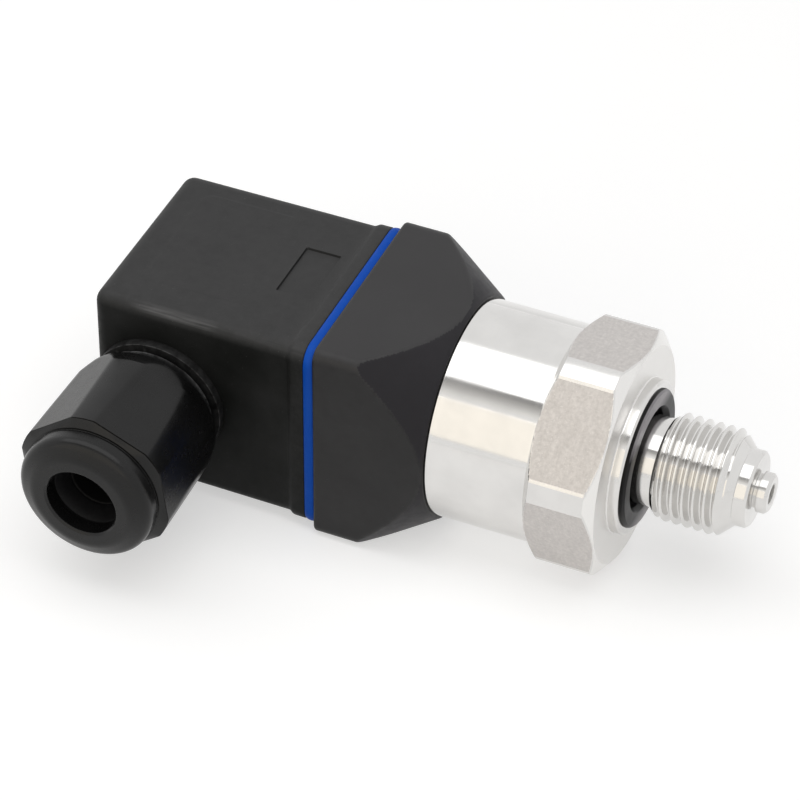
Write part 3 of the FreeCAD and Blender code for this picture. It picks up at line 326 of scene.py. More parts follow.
# Process connection, its seal and the tube
def make_process_connection():
    boss_chamfer, nose_chamfer, pin_chamfer, port_chamfer = 0.25, 0.3, 0.35, 0.15
    back = soften([
        (CELL_FLOOR, CELL_BORE, 0), (JOINT_BACK, CELL_BORE, 0.1), (JOINT_BACK, TUBE_BORE, 0.15),
        (COLLAR_BACK, TUBE_BORE, 0), (COLLAR_BACK, TUBE_RADIUS, 0), (SKIRT_BACK, TUBE_RADIUS, 0),
        (SKIRT_BACK, TUBE_RADIUS + 0.08, 0.03), (SKIRT_BACK + 0.95, COLLAR_RADIUS, 0.12),
        (COLLAR_FRONT - 1.1, COLLAR_RADIUS, 0.12), (COLLAR_FRONT, COLLAR_RADIUS - 1.7, 0.1),
        (COLLAR_FRONT, BOSS_RADIUS, 0.22), (-boss_chamfer, BOSS_RADIUS, 0.08),
        (0, BOSS_RADIUS - boss_chamfer, 0.06), (0, SEAL_GROOVE_RADIUS, 0.04),
        (SEAL_GROOVE_FLOOR, SEAL_GROOVE_RADIUS, 0), (SEAL_GROOVE_FLOOR, NECK_RADIUS, 0),
        (RUNOUT_START + 0.16, NECK_RADIUS, 0.04), (RUNOUT_START + 0.24, NECK_RADIUS + 0.2, 0),
    ])
    front = soften([
        (TIP_END, TIP_RADIUS, 0.04), (TIP_END + 0.06, NOSE_RADIUS, 0.05),
        (NOSE_END - nose_chamfer, NOSE_RADIUS, 0.08), (NOSE_END, NOSE_RADIUS - nose_chamfer, 0.06),
        (NOSE_END, PIN_ROOT_RADIUS, 0.08), (PIN_ROOT_END, PIN_ROOT_RADIUS, 0.08),
        (PIN_ROOT_END, PIN_RADIUS, 0.06), (PIN_END - pin_chamfer, PIN_RADIUS, 0.06),
        (PIN_END, PIN_RADIUS - pin_chamfer, 0.05), (PIN_END, PORT_RADIUS + port_chamfer, 0.05),
        (PIN_END - port_chamfer, PORT_RADIUS, 0), (CELL_FLOOR, PORT_RADIUS, 0),
        (CELL_FLOOR, CELL_BORE, 0),
    ])
    angles = angles_round(264, flat_edges(COLLAR_RADIUS, COLLAR_FLAT, COLLAR_TURN))

    def envelope(along):
        rise = (along - RUNOUT_START) / (NECK_END - RUNOUT_START)
        fall = (along - THREAD_END) / (TIP_END - THREAD_END)
        runout = NECK_RADIUS + rise * (THREAD_RADIUS - NECK_RADIUS)
        tip = THREAD_RADIUS - fall * (THREAD_RADIUS - TIP_RADIUS)
        return np.minimum(np.minimum(runout, tip), THREAD_RADIUS)

    turned_back = divide(back, 1.2, closed=False, chamfer=0.12)
    threaded = thread_rows(THREAD_RADIUS, THREAD_PITCH, back[-1][0], TIP_END, envelope, angles,
                           THREAD_CREST)
    # The front line's first point lies on the thread's last row, so it is left out
    along, radius = stacked(turned_back, threaded, front[1:], angles)
    hexagon = hex_reach(angles, COLLAR_FLAT, COLLAR_TURN)[None, :]
    milled = (along > SKIRT_BACK - 0.01) & (along < COLLAR_FRONT + 0.001)
    milled &= radius > TUBE_RADIUS + 0.01
    cut = np.where(milled, np.minimum(radius, hexagon), radius)
    # The flats take the second material and the port's wall the third
    flat = milled & (hexagon < radius - 0.01)
    whole = flat & np.roll(flat, -1, 0)
    slots = (whole[:, :-1] & whole[:, 1:]).astype(int)
    drilled = (radius < PORT_RADIUS + 0.05) & (np.roll(radius, -1, 0) < PORT_RADIUS + 0.35)
    slots[drilled[:, :-1]] = 2
    return skin("process_connection_body", "transmitter", about_x(along, cut, angles[None, :]),
                slots=slots, sharp=28, replaces=["process_connection"], slot="stainless_steel",
                outer=COLLAR_EDGES)


def make_process_seal():
    rear = SEAL_GROOVE_FLOOR + 0.05
    return lathe("process_seal_ring", "transmitter", [
        (rear, SEAL_BORE, 0.1), (rear, SEAL_GROOVE_RADIUS - 0.03, 0.1),
        (0.24, SEAL_GROOVE_RADIUS - 0.02, 0.1), (0.5, 8.28, 0.1), (0.5, 6.6, 0.2),
        (-0.2, SEAL_BORE, 0.15),
    ], replaces=["process_seal"], slot="seal_rubber")


def make_case_tube():
    front = COLLAR_BACK - 0.01
    return lathe("case_tube_shell", "transmitter", [
        (TUBE_BACK, TUBE_BORE, 0.1), (TUBE_BACK, TUBE_RADIUS, 0.25), (front, TUBE_RADIUS, 0.22),
        (front, TUBE_BORE, 0.1),
    ], count=256, longest=0.6, replaces=["case_tube"], slot="stainless_steel")


# Moulded pieces
BASE_HALF_WIDTH, BASE_HALF_HEIGHT, BASE_CORNER, BASE_EDGE = 14.06, 14.25, 1.5, 0.35
BASE_SPIGOT_RADIUS, BASE_BORE = 12.4, 9.6
PILLAR_RADIUS, PILLAR_BORE = 3.6, 2.5
CONE_RADIUS, CONE_RISE = 13.95, math.tan(math.radians(32.8))


def square_reach(angles, half_width, half_height, corner):
    """Distance from the axis to a rounded square's side, in each direction from +Z to -Y."""
    across, up = np.abs(np.sin(angles)), np.abs(np.cos(angles))
    low, high = np.zeros_like(angles), np.full_like(angles, half_width + half_height)
    for _ in range(40):
        middle = (low + high) / 2
        dx = np.maximum(middle * across - (half_width - corner), 0)
        dy = np.maximum(middle * up - (half_height - corner), 0)
        inside = np.maximum(middle * across - half_width, middle * up - half_height) < 0
        inside &= np.hypot(dx, dy) < corner
        low, high = np.where(inside, middle, low), np.where(inside, high, middle)
    return low


def cone_radius(along):
    """Radius of the cone that cuts the base's square down to the tube."""
    return CONE_RADIUS + (TUBE_BACK - along) * CONE_RISE


def make_connector_base():
    angles = angles_round(480)
    sides = square_reach(angles, BASE_HALF_WIDTH, BASE_HALF_HEIGHT, BASE_CORNER)
    cone_start = BASE_FACE + 0.5
    rows = []

    def ring(along, radius):
        rows.append((np.full_like(angles, along), np.broadcast_to(radius, angles.shape)))

    for along, radius in soften([
        (PLATE_BACK, PILLAR_BORE, 0), (PILLAR_TIP, PILLAR_BORE, 0.15),
        (PILLAR_TIP, PILLAR_RADIUS, 0.35), (BASE_FACE, PILLAR_RADIUS, 0.3),
    ])[:-1]:
        ring(along, radius)
    for share in (0.4, 0.7, 0.9, 0.96):
        ring(BASE_FACE, PILLAR_RADIUS + (sides - PILLAR_RADIUS) * share)
    for step in reversed(range(6)):
        turn = math.pi / 2 * step / 5
        ring(BASE_FACE + BASE_EDGE * (1 - math.sin(turn)), sides - BASE_EDGE * (1 - math.cos(turn)))
    for along in np.linspace(cone_start, TUBE_BACK - 0.25, 76):
        ring(along, smooth_min(sides, cone_radius(along), 0.12))
    for along, radius in soften([
        (TUBE_BACK - 0.2, 14.0, 0), (TUBE_BACK, 13.8, 0.1), (TUBE_BACK, BASE_SPIGOT_RADIUS, 0),
        (BASE_SPIGOT_END, BASE_SPIGOT_RADIUS, 0.1), (BASE_SPIGOT_END, BASE_BORE, 0),
        (PLATE_BACK, BASE_BORE, 0), (PLATE_BACK, PILLAR_BORE, 0),
    ])[1:]:
        ring(along, np.minimum(radius, sides))
    along, radius = np.swapaxes(rows, 0, 1)
    # The cone's surface takes the second material
    cut = (cone_radius(along) < sides) & (along > cone_start) & (radius > TUBE_RADIUS - 0.1)
    whole = cut & np.roll(cut, -1, 0)
    return skin("connector_base_shell", "transmitter", about_x(along, radius, angles[None, :]),
                slots=whole[:, :-1] & whole[:, 1:], sharp=40, replaces=["connector_base"],
                slot="moulded_black")


PLUG_HALF_WIDTH, PLUG_HALF_DEPTH, PLUG_CORNER = 13.3, 13.2, 1.9
PLUG_DRAFT, CROWN_ROUNDING = 0.15, 1.5
CAVITY_HALF_WIDTH, CAVITY_HALF_DEPTH, CAVITY_CORNER = 11.5, 11.4, 2.0
RECESS_RADIUS, SCREW_HOLE_RADIUS, SCREW_BOSS_RADIUS = 4.2, 1.7, 5.4
# The rim by the gasket: how proud its lip is, then how proud the side is behind the lip
LIP_PROUD, LIP_ROUNDING = 0.4, 0.25
RIM = ((-1.5, 0.39), (-1.7, 0.34), (-1.85, 0.26), (-2.0, 0.16), (-2.15, 0.07), (-2.4, 0.0))
RIM_END = -2.45
# The marking field and the panel on the top face: centre, half size, corner and width of the edge
FIELD_CENTRE, FIELD_HALF, FIELD_CORNER, FIELD_EDGE = (-43.9, 0.6), (2.3, 4.45), 0.25, 0.12
PANEL_CENTRE, PANEL_HALF, PANEL_CORNER, PANEL_EDGE = (-55.4, 0.8), (6.7, 9.0), 1.8, 0.25
FIELD_DEPTH, PANEL_RISE = 0.32, 0.035
# The top side of each row of the plug has this many pieces, for the field's narrow edges
TOP_PIECES = 230


def rounded_rectangle(half_width, half_height, corner, arc=8, side=10, top=10):
    """Points round a rectangle with round corners, as (across, up), once round and closed."""
    centres = [(sx * (half_width - corner), sy * (half_height - corner))
               for sx, sy in ((1, 1), (-1, 1), (-1, -1), (1, -1))]
    points = []
    for quarter, (x, y) in enumerate(centres):
        for step in range(arc + 1):
            turn = math.pi / 2 * (quarter + step / arc)
            points.append((x + corner * math.cos(turn), y + corner * math.sin(turn)))
        last = points[-1]
        following = centres[(quarter + 1) % 4]
        goal = (following[0] + corner * math.cos(turn), following[1] + corner * math.sin(turn))
        pieces = top if quarter == 0 else side
        for step in range(1, pieces):
            t = step / pieces
            points.append((last[0] + (goal[0] - last[0]) * t, last[1] + (goal[1] - last[1]) * t))
    points.append(points[0])
    return np.array(points)


def rectangle_row(along, half_width, half_height, corner, top=10):
    points = rounded_rectangle(half_width, half_height, max(corner, 0.02), top=top)
    return np.column_stack([np.full(len(points), along), points])


def circle_row(along, radius, top=10):
    """A circle with as many points as a row of the plug, in the same directions."""
    base = rounded_rectangle(PLUG_HALF_WIDTH, PLUG_HALF_DEPTH, PLUG_CORNER, top=top)
    turn = np.arctan2(base[:, 1], base[:, 0])
    return np.column_stack([np.full(len(turn), along), radius * np.cos(turn), radius * np.sin(turn)])


def smooth_step(value, start, end):
    t = np.clip((value - start) / (end - start), 0, 1)
    return t * t * (3 - 2 * t)


def inside_field(x, y, centre, half, corner, edge):
    """1 inside a rounded rectangle, 0 outside it, with a slope over an edge's width."""
    dx = np.abs(x - centre[0]) - half[0] + corner
    dy = np.abs(y - centre[1]) - half[1] + corner
    outside = np.hypot(np.maximum(dx, 0), np.maximum(dy, 0))
    reach = outside + np.minimum(np.maximum(dx, dy), 0) - corner
    return 1 - smooth_step(reach, -edge, 0)


def make_plug_housing():
    rows = []
    draft = PLUG_DRAFT / (GASKET_FACE - PLUG_CROWN)

    def outer(along, proud=0.0):
        grown = proud - (GASKET_FACE - along) * draft
        rows.append(rectangle_row(along, PLUG_HALF_WIDTH + grown, PLUG_HALF_DEPTH + grown,
                                  PLUG_CORNER + grown, TOP_PIECES))

    for step in range(5):
        turn = math.pi / 2 * step / 4
        outer(GASKET_FACE - LIP_ROUNDING * (1 - math.cos(turn)),
              LIP_PROUD - LIP_ROUNDING * (1 - math.sin(turn)))
    for along, proud in RIM:
        outer(GASKET_FACE + along, proud)
    field_front = FIELD_CENTRE[0] + FIELD_HALF[0]
    field_back = FIELD_CENTRE[0] - FIELD_HALF[0]
    panel_back = PANEL_CENTRE[0] - PANEL_HALF[0]
    # The rows are close over the field, wider over the panel and few behind it
    close, wide = 0.1, 0.3
    for along in np.concatenate([
            np.arange(field_front + close, field_back - close, -close),
            np.arange(field_back - wide, panel_back - wide, -wide),
            [panel_back - 1.0, PLUG_CROWN + 1.7]]):
        outer(along)
    for step in range(9):
        turn = math.pi / 2 * step / 8
        outer(PLUG_CROWN + CROWN_ROUNDING * (1 - math.sin(turn)),
              -CROWN_ROUNDING * (1 - math.cos(turn)))
    slim = CROWN_ROUNDING + PLUG_DRAFT
    square = rectangle_row(PLUG_CROWN, PLUG_HALF_WIDTH - slim, PLUG_HALF_DEPTH - slim, 0.3,
                           TOP_PIECES)
    circle = circle_row(PLUG_CROWN, RECESS_RADIUS + 0.2, TOP_PIECES)
    for share in (0.85, 0.6, 0.35, 0.12):
        rows.append(square * share + circle * (1 - share))
    boss_end = CROWN_INNER + 4
    inside = soften([
        (PLUG_CROWN, SCREW_BOSS_RADIUS, 0), (PLUG_CROWN, RECESS_RADIUS, 0.25),
        (RECESS_FLOOR, RECESS_RADIUS, 0.2), (RECESS_FLOOR, SCREW_HOLE_RADIUS, 0.1),
        (boss_end, SCREW_HOLE_RADIUS, 0.1), (boss_end, SCREW_BOSS_RADIUS, 0.3),
        (CROWN_INNER, SCREW_BOSS_RADIUS, 0),
    ])[1:]
    rows += [circle_row(along, radius, TOP_PIECES) for along, radius in inside]
    for along, wider in ((CROWN_INNER, 0), (GASKET_FACE - 0.15, 0), (GASKET_FACE, 0.15)):
        rows.append(rectangle_row(along, CAVITY_HALF_WIDTH + wider, CAVITY_HALF_DEPTH + wider,
                                  CAVITY_CORNER, TOP_PIECES))
    grid = np.array(rows)
    # The top face carries an empty marking field, let in, and a faint raised panel
    x, y, z = grid[..., 0], grid[..., 1], grid[..., 2]
    on_top = (z > PLUG_HALF_DEPTH - 0.25) & (x < GASKET_FACE + RIM_END)
    field = inside_field(x, y, FIELD_CENTRE, FIELD_HALF, FIELD_CORNER, FIELD_EDGE)
    raised = inside_field(x, y, PANEL_CENTRE, PANEL_HALF, PANEL_CORNER, PANEL_EDGE)
    grid[..., 2] = np.where(on_top, z - FIELD_DEPTH * field + PANEL_RISE * raised, z)
    return skin("plug_housing_shell", "plug", grid, sharp=35, replaces=["plug_housing"],
                slot="moulded_black")


def make_gland_spigot():
    """The spigot's foot, and the helical thread that the nut runs on."""
    angles = angles_round(144)
    foot = divide(soften([
        (FOOT_START, SPIGOT_BORE, 0), (FOOT_START, FOOT_RADIUS, 0), (FOOT_END, FOOT_RADIUS, 0.08),
        (FOOT_END, SPIGOT_ROOT, 0),
    ])[:-1], 2, closed=False)
    foot.append((FOOT_END, SPIGOT_ROOT))

    def envelope(along):
        inset = np.minimum(along - FOOT_END, GLAND_THREAD_END - along)
        return np.minimum(SPIGOT_ROOT + inset * 1.4, GLAND_THREAD_RADIUS)

    threaded = thread_rows(GLAND_THREAD_RADIUS, GLAND_PITCH, FOOT_END, GLAND_THREAD_END, envelope,
                           angles, samples=12)
    mouth = soften([(GLAND_THREAD_END, SPIGOT_ROOT, 0), (GLAND_THREAD_END, SPIGOT_BORE, 0.2),
                    (FOOT_START, SPIGOT_BORE, 0)])
    along, radius = stacked(foot, threaded, mouth, angles)
    return skin("gland_spigot", "plug", about_gland(along, radius, angles[None, :]), sharp=35,
                slot="moulded_black")


def make_gasket():
    middle, half = (GASKET_FACE + BASE_FACE) / 2, (BASE_FACE - GASKET_FACE) / 2
    rows = []
    for step in range(7):
        turn = math.pi * step / 6
        bulge = 0.2 * math.sin(turn)
        rows.append(rectangle_row(middle + half * math.cos(turn) * (1 - 0.12 * math.sin(turn)),
                                  13.6 + bulge, 13.5 + bulge, 2.2 + bulge))
    for face in (GASKET_FACE, BASE_FACE):
        rows.append(rectangle_row(face, 11.3, 11.2, 2.0))
    return skin("flat_gasket_sheet", "plug", rows, sharp=50, replaces=["flat_gasket"],
                slot="gasket_silicone")


# Gland
def make_gland_nut():
    groove_rear, groove_front = NUT_SHOULDER - NUT_GROOVE_HALF, NUT_SHOULDER + NUT_GROOVE_HALF
    corners = [
        (NUT_REAR, NUT_THREAD_BORE, 0.1), (NUT_REAR, NUT_FLAT, 0),
        (NUT_CHAMFER_END, NUT_CHAMFER_RADIUS, 0.8), (groove_rear, NUT_ROUND, 0),
        (NUT_SHOULDER, NUT_ROUND, 0), (groove_front, NUT_ROUND, 0),
        (SHOULDER_END, NUT_SHOULDER_RADIUS, 0.1), (SHOULDER_END + 0.04, NUT_NECK_RADIUS, 0.06),
        (DOME_ROOT, NUT_NECK_RADIUS, 0.06), (DOME_ROOT + 0.2, NUT_DOME_RADIUS, 0.1),
        (DOME_ROLL, NUT_DOME_RADIUS, NUT_DOME_ROLL),
        (NUT_FRONT, NUT_DOME_RADIUS - NUT_DOME_ROLL, NUT_DOME_ROLL),
        (NUT_FRONT, NUT_MOUTH_RADIUS + 0.25, 0.15), (NUT_FRONT - 0.25, NUT_MOUTH_RADIUS, 0.12),
        (NUT_SEAT, NUT_MOUTH_RADIUS, 0), (NUT_SEAT, NUT_BORE, 0),
        (NUT_SEAT - 4.45, NUT_BORE, 0), (NUT_SEAT - 5.55, NUT_THREAD_BORE, 0),
    ]
    line = np.array(divide(soften(corners, 9), 0.35))
    angles = angles_round(288, flat_edges(NUT_ROUND, NUT_FLAT, NUT_TURN))
    along = np.repeat(line[:, :1], len(angles), 1)
    radius = np.repeat(line[:, 1:], len(angles), 1)
    hexagon = hex_reach(angles, NUT_FLAT, NUT_TURN)[None, :]
    milled = (along < SHOULDER_END + 0.001) & (radius > NUT_NECK_RADIUS + 0.02)
    # The flats end in a straight groove, and each side leans in from there to the round shoulder
    lean = np.clip((along - groove_front) / (SHOULDER_END - groove_front), 0, 1)
    side = np.minimum(hexagon, NUT_ROUND)
    side = side + (NUT_SHOULDER_RADIUS - side) * lean
    groove = NUT_GROOVE_DEPTH * np.clip(1 - np.abs(along - NUT_SHOULDER) / NUT_GROOVE_HALF, 0, 1)
    cut = np.where(milled, smooth_min(radius, side, 0.1) - groove, radius)
    return skin("gland_nut_shell", "gland_nut", about_gland(along, cut, angles[None, :]), sharp=32,
                replaces=["gland_nut"], slot="moulded_black")


def make_thrust_ring():
    return lathe("gland_thrust_ring_turned", "thrust_ring", [
        (THRUST_RING_REAR, THRUST_RING_BORE, 0), (THRUST_RING_REAR, THRUST_RING_RADIUS, 0.1),
        (NUT_SEAT, THRUST_RING_RADIUS, 0.1), (NUT_SEAT, NUT_MOUTH_RADIUS - 0.1, 0.03),
        (NUT_SEAT - 1.6, THRUST_RING_BORE, 0),
    ], place=about_gland, replaces=["gland_thrust_ring"], slot="ring_plastic")


def make_gland_seal():
    return lathe("gland_seal_moulded", "plug", [
        (GLAND_SEAL_REAR, GLAND_SEAL_BORE, 0.2), (GLAND_SEAL_REAR, GLAND_SEAL_RADIUS, 0.3),
        (GLAND_THREAD_END, GLAND_SEAL_RADIUS, 0), (GLAND_THREAD_END, THRUST_RING_RADIUS, 0.1),
        (THRUST_RING_REAR, THRUST_RING_RADIUS, 0.2), (THRUST_RING_REAR, GLAND_SEAL_BORE, 0.3),
    ], place=about_gland, replaces=["gland_seal"], slot="seal_rubber")


# Finishes
def scaled(colour, factor):
    return tuple(min(1.0, factor * part) for part in colour)


class Shader:
    """A material's node tree, with short calls for the nodes that the finishes share."""

    def __init__(self, name):
        self.material = bpy.data.materials.new(name)
        self.material.use_nodes = True
        self.tree = self.material.node_tree
        self.bsdf = self.tree.nodes["Principled BSDF"]
        self.coordinates = self.add("ShaderNodeTexCoord")
        self.place = self.add("ShaderNodeMapping", Vector=self.coordinates.outputs["Object"],
                              Scale=(1 / MM,) * 3).outputs[0]

    def give(self, socket, given):
        if isinstance(given, bpy.types.NodeSocket):
            self.tree.links.new(given, socket)
        else:
            socket.default_value = given

    def add(self, kind, settings=None, **inputs):
        """A node with its settings and inputs. An input is given by name, or by i and its number."""
        node = self.tree.nodes.new(kind)
        for name, setting in (settings or {}).items():
            setattr(node, name, setting)
        for name, given in inputs.items():
            numbered = name[0] == "i" and name[1:].isdigit()
            self.give(node.inputs[int(name[1:]) if numbered else name], given)
        return node

    def maths(self, operation, *given, clamp=False):
        node = self.add("ShaderNodeMath", {"operation": operation, "use_clamp": clamp},
                        **{f"i{index}": item for index, item in enumerate(given)})
        return node.outputs[0]

    def sum(self, first, *others):
        for other in others:
            first = self.maths("ADD", first, other)
        return first

    def product(self, first, *others):
        for other in others:
            first = self.maths("MULTIPLY", first, other)
        return first

    def split(self, vector):
        return tuple(self.add("ShaderNodeSeparateXYZ", Vector=vector).outputs)

    def facing(self):
        """How far the surface faces along X, Y and Z."""
        return self.split(self.coordinates.outputs["Normal"])

    def stretched(self, scale, turn=(0, 0, 0)):
        return self.add("ShaderNodeMapping", Vector=self.place, Scale=scale,
                        Rotation=turn).outputs[0]

    def noise(self, scale, detail=3.0, vector=None, rough=0.5):
        return self.add("ShaderNodeTexNoise", Vector=vector or self.place, Scale=scale,
                        Detail=detail, Roughness=rough).outputs["Fac"]

    def ramp(self, value, low, high, start, end):
        """low where the value is start, high where it is end, and held beyond both."""
        return self.add("ShaderNodeMapRange", {"clamp": True}, Value=value, **{
            "From Min": start, "From Max": end, "To Min": low, "To Max": high}).outputs[0]

    def blend(self, share, first, second):
        node = self.add("ShaderNodeMix", {"data_type": "RGBA"})
        for index, given in ((0, share), (6, first), (7, second)):
            self.give(node.inputs[index], (*given, 1) if isinstance(given, tuple) else given)
        return node.outputs[2]

    def bump(self, height, depth, strength=1.0, **normal):
        return self.add("ShaderNodeBump", Height=height, Distance=depth * MM, Strength=strength,
                        **normal).outputs[0]

    def wear(self):
        return self.add("ShaderNodeAttribute", {"attribute_name": "wear"}).outputs["Fac"]

    def finish(self, **inputs):
        for name, given in inputs.items():
            socket = self.bsdf.inputs[name.replace("_", " ")]
            self.give(socket, (*given, 1) if isinstance(given, tuple) else given)
        return self.material


def steel_turned(name="steel_turned", ring_depth=0.0006, rough=0.12, colour=(0.71, 0.70, 0.685)):
    """Turned stainless steel: fine rings round the axis, duller end faces, smears and scratches."""
    s = Shader(name)
    x, y, z = s.split(s.place)
    reach = s.maths("SQRT", s.sum(s.maths("POWER", y, 2.0), s.maths("POWER", z, 2.0)))
    rings = s.add("ShaderNodeTexNoise", {"noise_dimensions": "1D"}, W=s.sum(x, reach), Scale=9.0,
                  Detail=6.0, Roughness=0.75).outputs["Fac"]
    smears = s.noise(0.22, 4.0)
    crossing = s.stretched((0.25, 3.0, 3.0), (0.2, 0.1, 0.3))
    scratches = s.ramp(s.noise(1.5, 8.0, crossing, 0.8), 0, 1, 0.66, 0.72)
    shade = s.blend(s.ramp(smears, 0, 1, 0.35, 0.7), colour, scaled(colour, 0.93))
    # Faces across the axis are duller, and painted paler, standing in for the light that falls on
    # them, but not inside the boss, where the thread is
    outside = s.ramp(reach, 0, 1, BOSS_RADIUS - 0.1, BOSS_RADIUS + 0.2)
    faced_dull_and_lit = s.product(s.ramp(s.maths("ABSOLUTE", s.facing()[0]), 0.0, 0.26, 0.78, 0.98), outside)
    shade = s.blend(s.ramp(faced_dull_and_lit, 0, 1, 0.0, 0.08), shade, scaled(colour, 1.12))
    roughness = s.sum(s.ramp(smears, rough * 0.8, rough * 1.35, 0.3, 0.7), faced_dull_and_lit,
                      s.product(scratches, 0.08))
    return s.finish(Base_Color=shade, Metallic=1.0, Roughness=roughness,
                    Normal=s.bump(rings, ring_depth))


def steel_ground():
    """Milled flats of the hexagon: dull, with a coarse grain that sparkles here and there."""
    s = Shader("steel_ground")
    streaks = s.noise(1.0, 6.0, s.stretched((2.6, 0.5, 0.5)), 0.65)
    grains = s.noise(2.2, 5.0, rough=0.65)
    pits = s.noise(7.0, 2.0)
    colour = s.blend(s.ramp(grains, 0, 1, 0.32, 0.66), (0.50, 0.476, 0.46), (0.64, 0.612, 0.59))
    colour = s.blend(s.ramp(streaks, 0, 0.35, 0.4, 0.65), colour, (0.46, 0.438, 0.424))
    colour = s.blend(s.ramp(pits, 0, 0.6, 0.62, 0.72), colour, (0.78, 0.755, 0.735))
    height = s.sum(s.product(streaks, 0.5), s.sum(grains, s.product(pits, 0.5)))
    return s.finish(Base_Color=colour, Metallic=1.0, Roughness=s.ramp(grains, 0.36, 0.52, 0.3, 0.7),
                    Normal=s.bump(height, 0.035, 0.8))


def edge_highlight_streak(s, upward):
    """A painted highlight: the pale streak along the plug's upper front edge, broken up like rubbing,
    which fades towards the gasket.
    """
    x, y, _ = s.split(s.place)
    on_edge = s.product(s.ramp(upward, 0, 1, 0.45, 0.65), s.ramp(upward, 1, 0, 0.8, 0.97))
    along = s.product(s.ramp(x, 0, 1, -61.5, -58.0), s.ramp(x, 1, 0.18, -51.0, -49.5))
    in_front = s.ramp(y, 1, 0, -9.0, -8.0)
    streak_breaks = s.ramp(s.noise(1.0, 4.0, s.stretched((0.12, 2.6, 2.6)), 0.6), 0.1, 1.0, 0.36, 0.62)
    return s.product(on_edge, along, in_front, streak_breaks)


def moulded(name, colour, light, rough, gloss, grain=0.006, scale=3.2, specks=0.5, painted_top_light=0.0,
            edge_wear_and_highlight=0.75, with_highlight_streak=False):
    """Moulded plastic: fine spark-eroded grain, paler worn edges, dust specks and uneven sheen. Set
    strongly, the paler edges are a painted highlight.

    The argument for painted top light is how far a face has to face upwards to be painted fully
    lighter, standing in for the light from above. 0 means none.
    """
    s = Shader(name)
    fine = s.noise(scale, 4.0, rough=0.6)
    broad = s.noise(0.12, 4.0)
    blotch = s.noise(0.8, 5.0, rough=0.65)
    rubbed = s.ramp(s.noise(1.1, 6.0, rough=0.7), 0, 1, 0.36, 0.6)
    edge = s.maths("MULTIPLY", s.wear(), rubbed, clamp=True)
    dust = s.product(s.ramp(s.noise(7.0, 2.0), 0, 1, 0.74, 0.78), specks)
    paler = tuple(0.8 * a + 0.2 * b for a, b in zip(colour, light))
    body = s.blend(s.ramp(broad, 0, 1, 0.35, 0.7), colour, paler)
    upward = s.facing()[2]
    # Painted light: the upward faces are painted lighter, standing in for the light from above
    if painted_top_light:
        painted_light = s.product(s.ramp(upward, 0, painted_top_light, 0.15, 0.95), s.ramp(blotch, 0.85, 1.1, 0.3, 0.7))
        body = s.blend(painted_light, body, light)
    # Paler edges: wear, and on the spigot's rim, where they are set strongly, a painted highlight
    body = s.blend(s.product(edge, edge_wear_and_highlight), body, scaled(light, 1.5))
    # Painted highlight: a pale streak along the plug's upper front edge
    if with_highlight_streak:
        body = s.blend(s.product(edge_highlight_streak(s, upward), 0.8), body, scaled(light, 2.2))
    body = s.blend(dust, body, scaled(light, 4))
    roughness = s.sum(s.ramp(blotch, rough * 0.88, rough * 1.12, 0.3, 0.7), s.product(edge, -0.08))
    uneven = s.bump(blotch, grain * 2.5, 0.4)
    return s.finish(Base_Color=body, Roughness=roughness, Specular_IOR_Level=gloss,
                    Normal=s.bump(fine, grain, 0.6, Normal=uneven))


def seal_painted_sheen():
    """The process seal: black rubber, painted lighter grey on its front face, most above and below, a
    painted sheen standing in for the light there.
    """
    s = Shader("process_seal_rubber")
    fine = s.noise(3.0, 4.0, rough=0.6)
    blotch = s.noise(0.8, 5.0, rough=0.65)
    z = s.split(s.place)[2]
    height = s.maths("MAXIMUM", z, s.product(z, -0.85))
    # Painted sheen: the front face is painted lighter towards the top and the bottom, where the light
    # falls
    painted_light = s.product(s.ramp(s.facing()[0], 0, 1, 0.3, 0.9), s.ramp(height, 0.02, 1, 4.8, 6.8),
                     s.ramp(blotch, 0.8, 1.1, 0.3, 0.7))
    return s.finish(Base_Color=s.blend(painted_light, (0.004, 0.0037, 0.004), (0.46, 0.438, 0.46)),
                    Roughness=s.ramp(blotch, 0.34, 0.44, 0.3, 0.7), Specular_IOR_Level=0.2,
                    Normal=s.bump(fine, 0.004, 0.6))


def plated(name, colour, rough):
    """Small metal parts: plated or drawn, a little dull, with fine lines."""
    s = Shader(name)
    lines = s.noise(2.0, 6.0, s.stretched((6.0, 0.6, 0.6)), 0.7)
    spots = s.ramp(s.noise(0.9, 4.0), 0, 1, 0.35, 0.7)
    return s.finish(Base_Color=s.blend(spots, colour, scaled(colour, 0.75)), Metallic=1.0,
                    Roughness=s.ramp(lines, rough * 0.8, rough * 1.25, 0.3, 0.7),
                    Normal=s.bump(lines, 0.004))


def glazed(name, colour, other, rough, scale):
    """Ceramic, laminate and resin inside the case."""
    s = Shader(name)
    cells = s.noise(scale, 5.0, rough=0.6)
    return s.finish(Base_Color=s.blend(s.ramp(cells, 0, 1, 0.35, 0.65), colour, other),
                    Roughness=s.ramp(cells, rough * 0.85, rough * 1.15, 0.3, 0.7),
                    Normal=s.bump(cells, 0.01))


def paint(made, *materials):
    """Gives a piece its materials. Clearing resets the faces' slots, so only old ones are cleared."""
    if made.data.materials:
        made.data.materials.clear()
    for material in materials:
        made.data.materials.append(material)


turned = steel_turned()
ground = steel_ground()
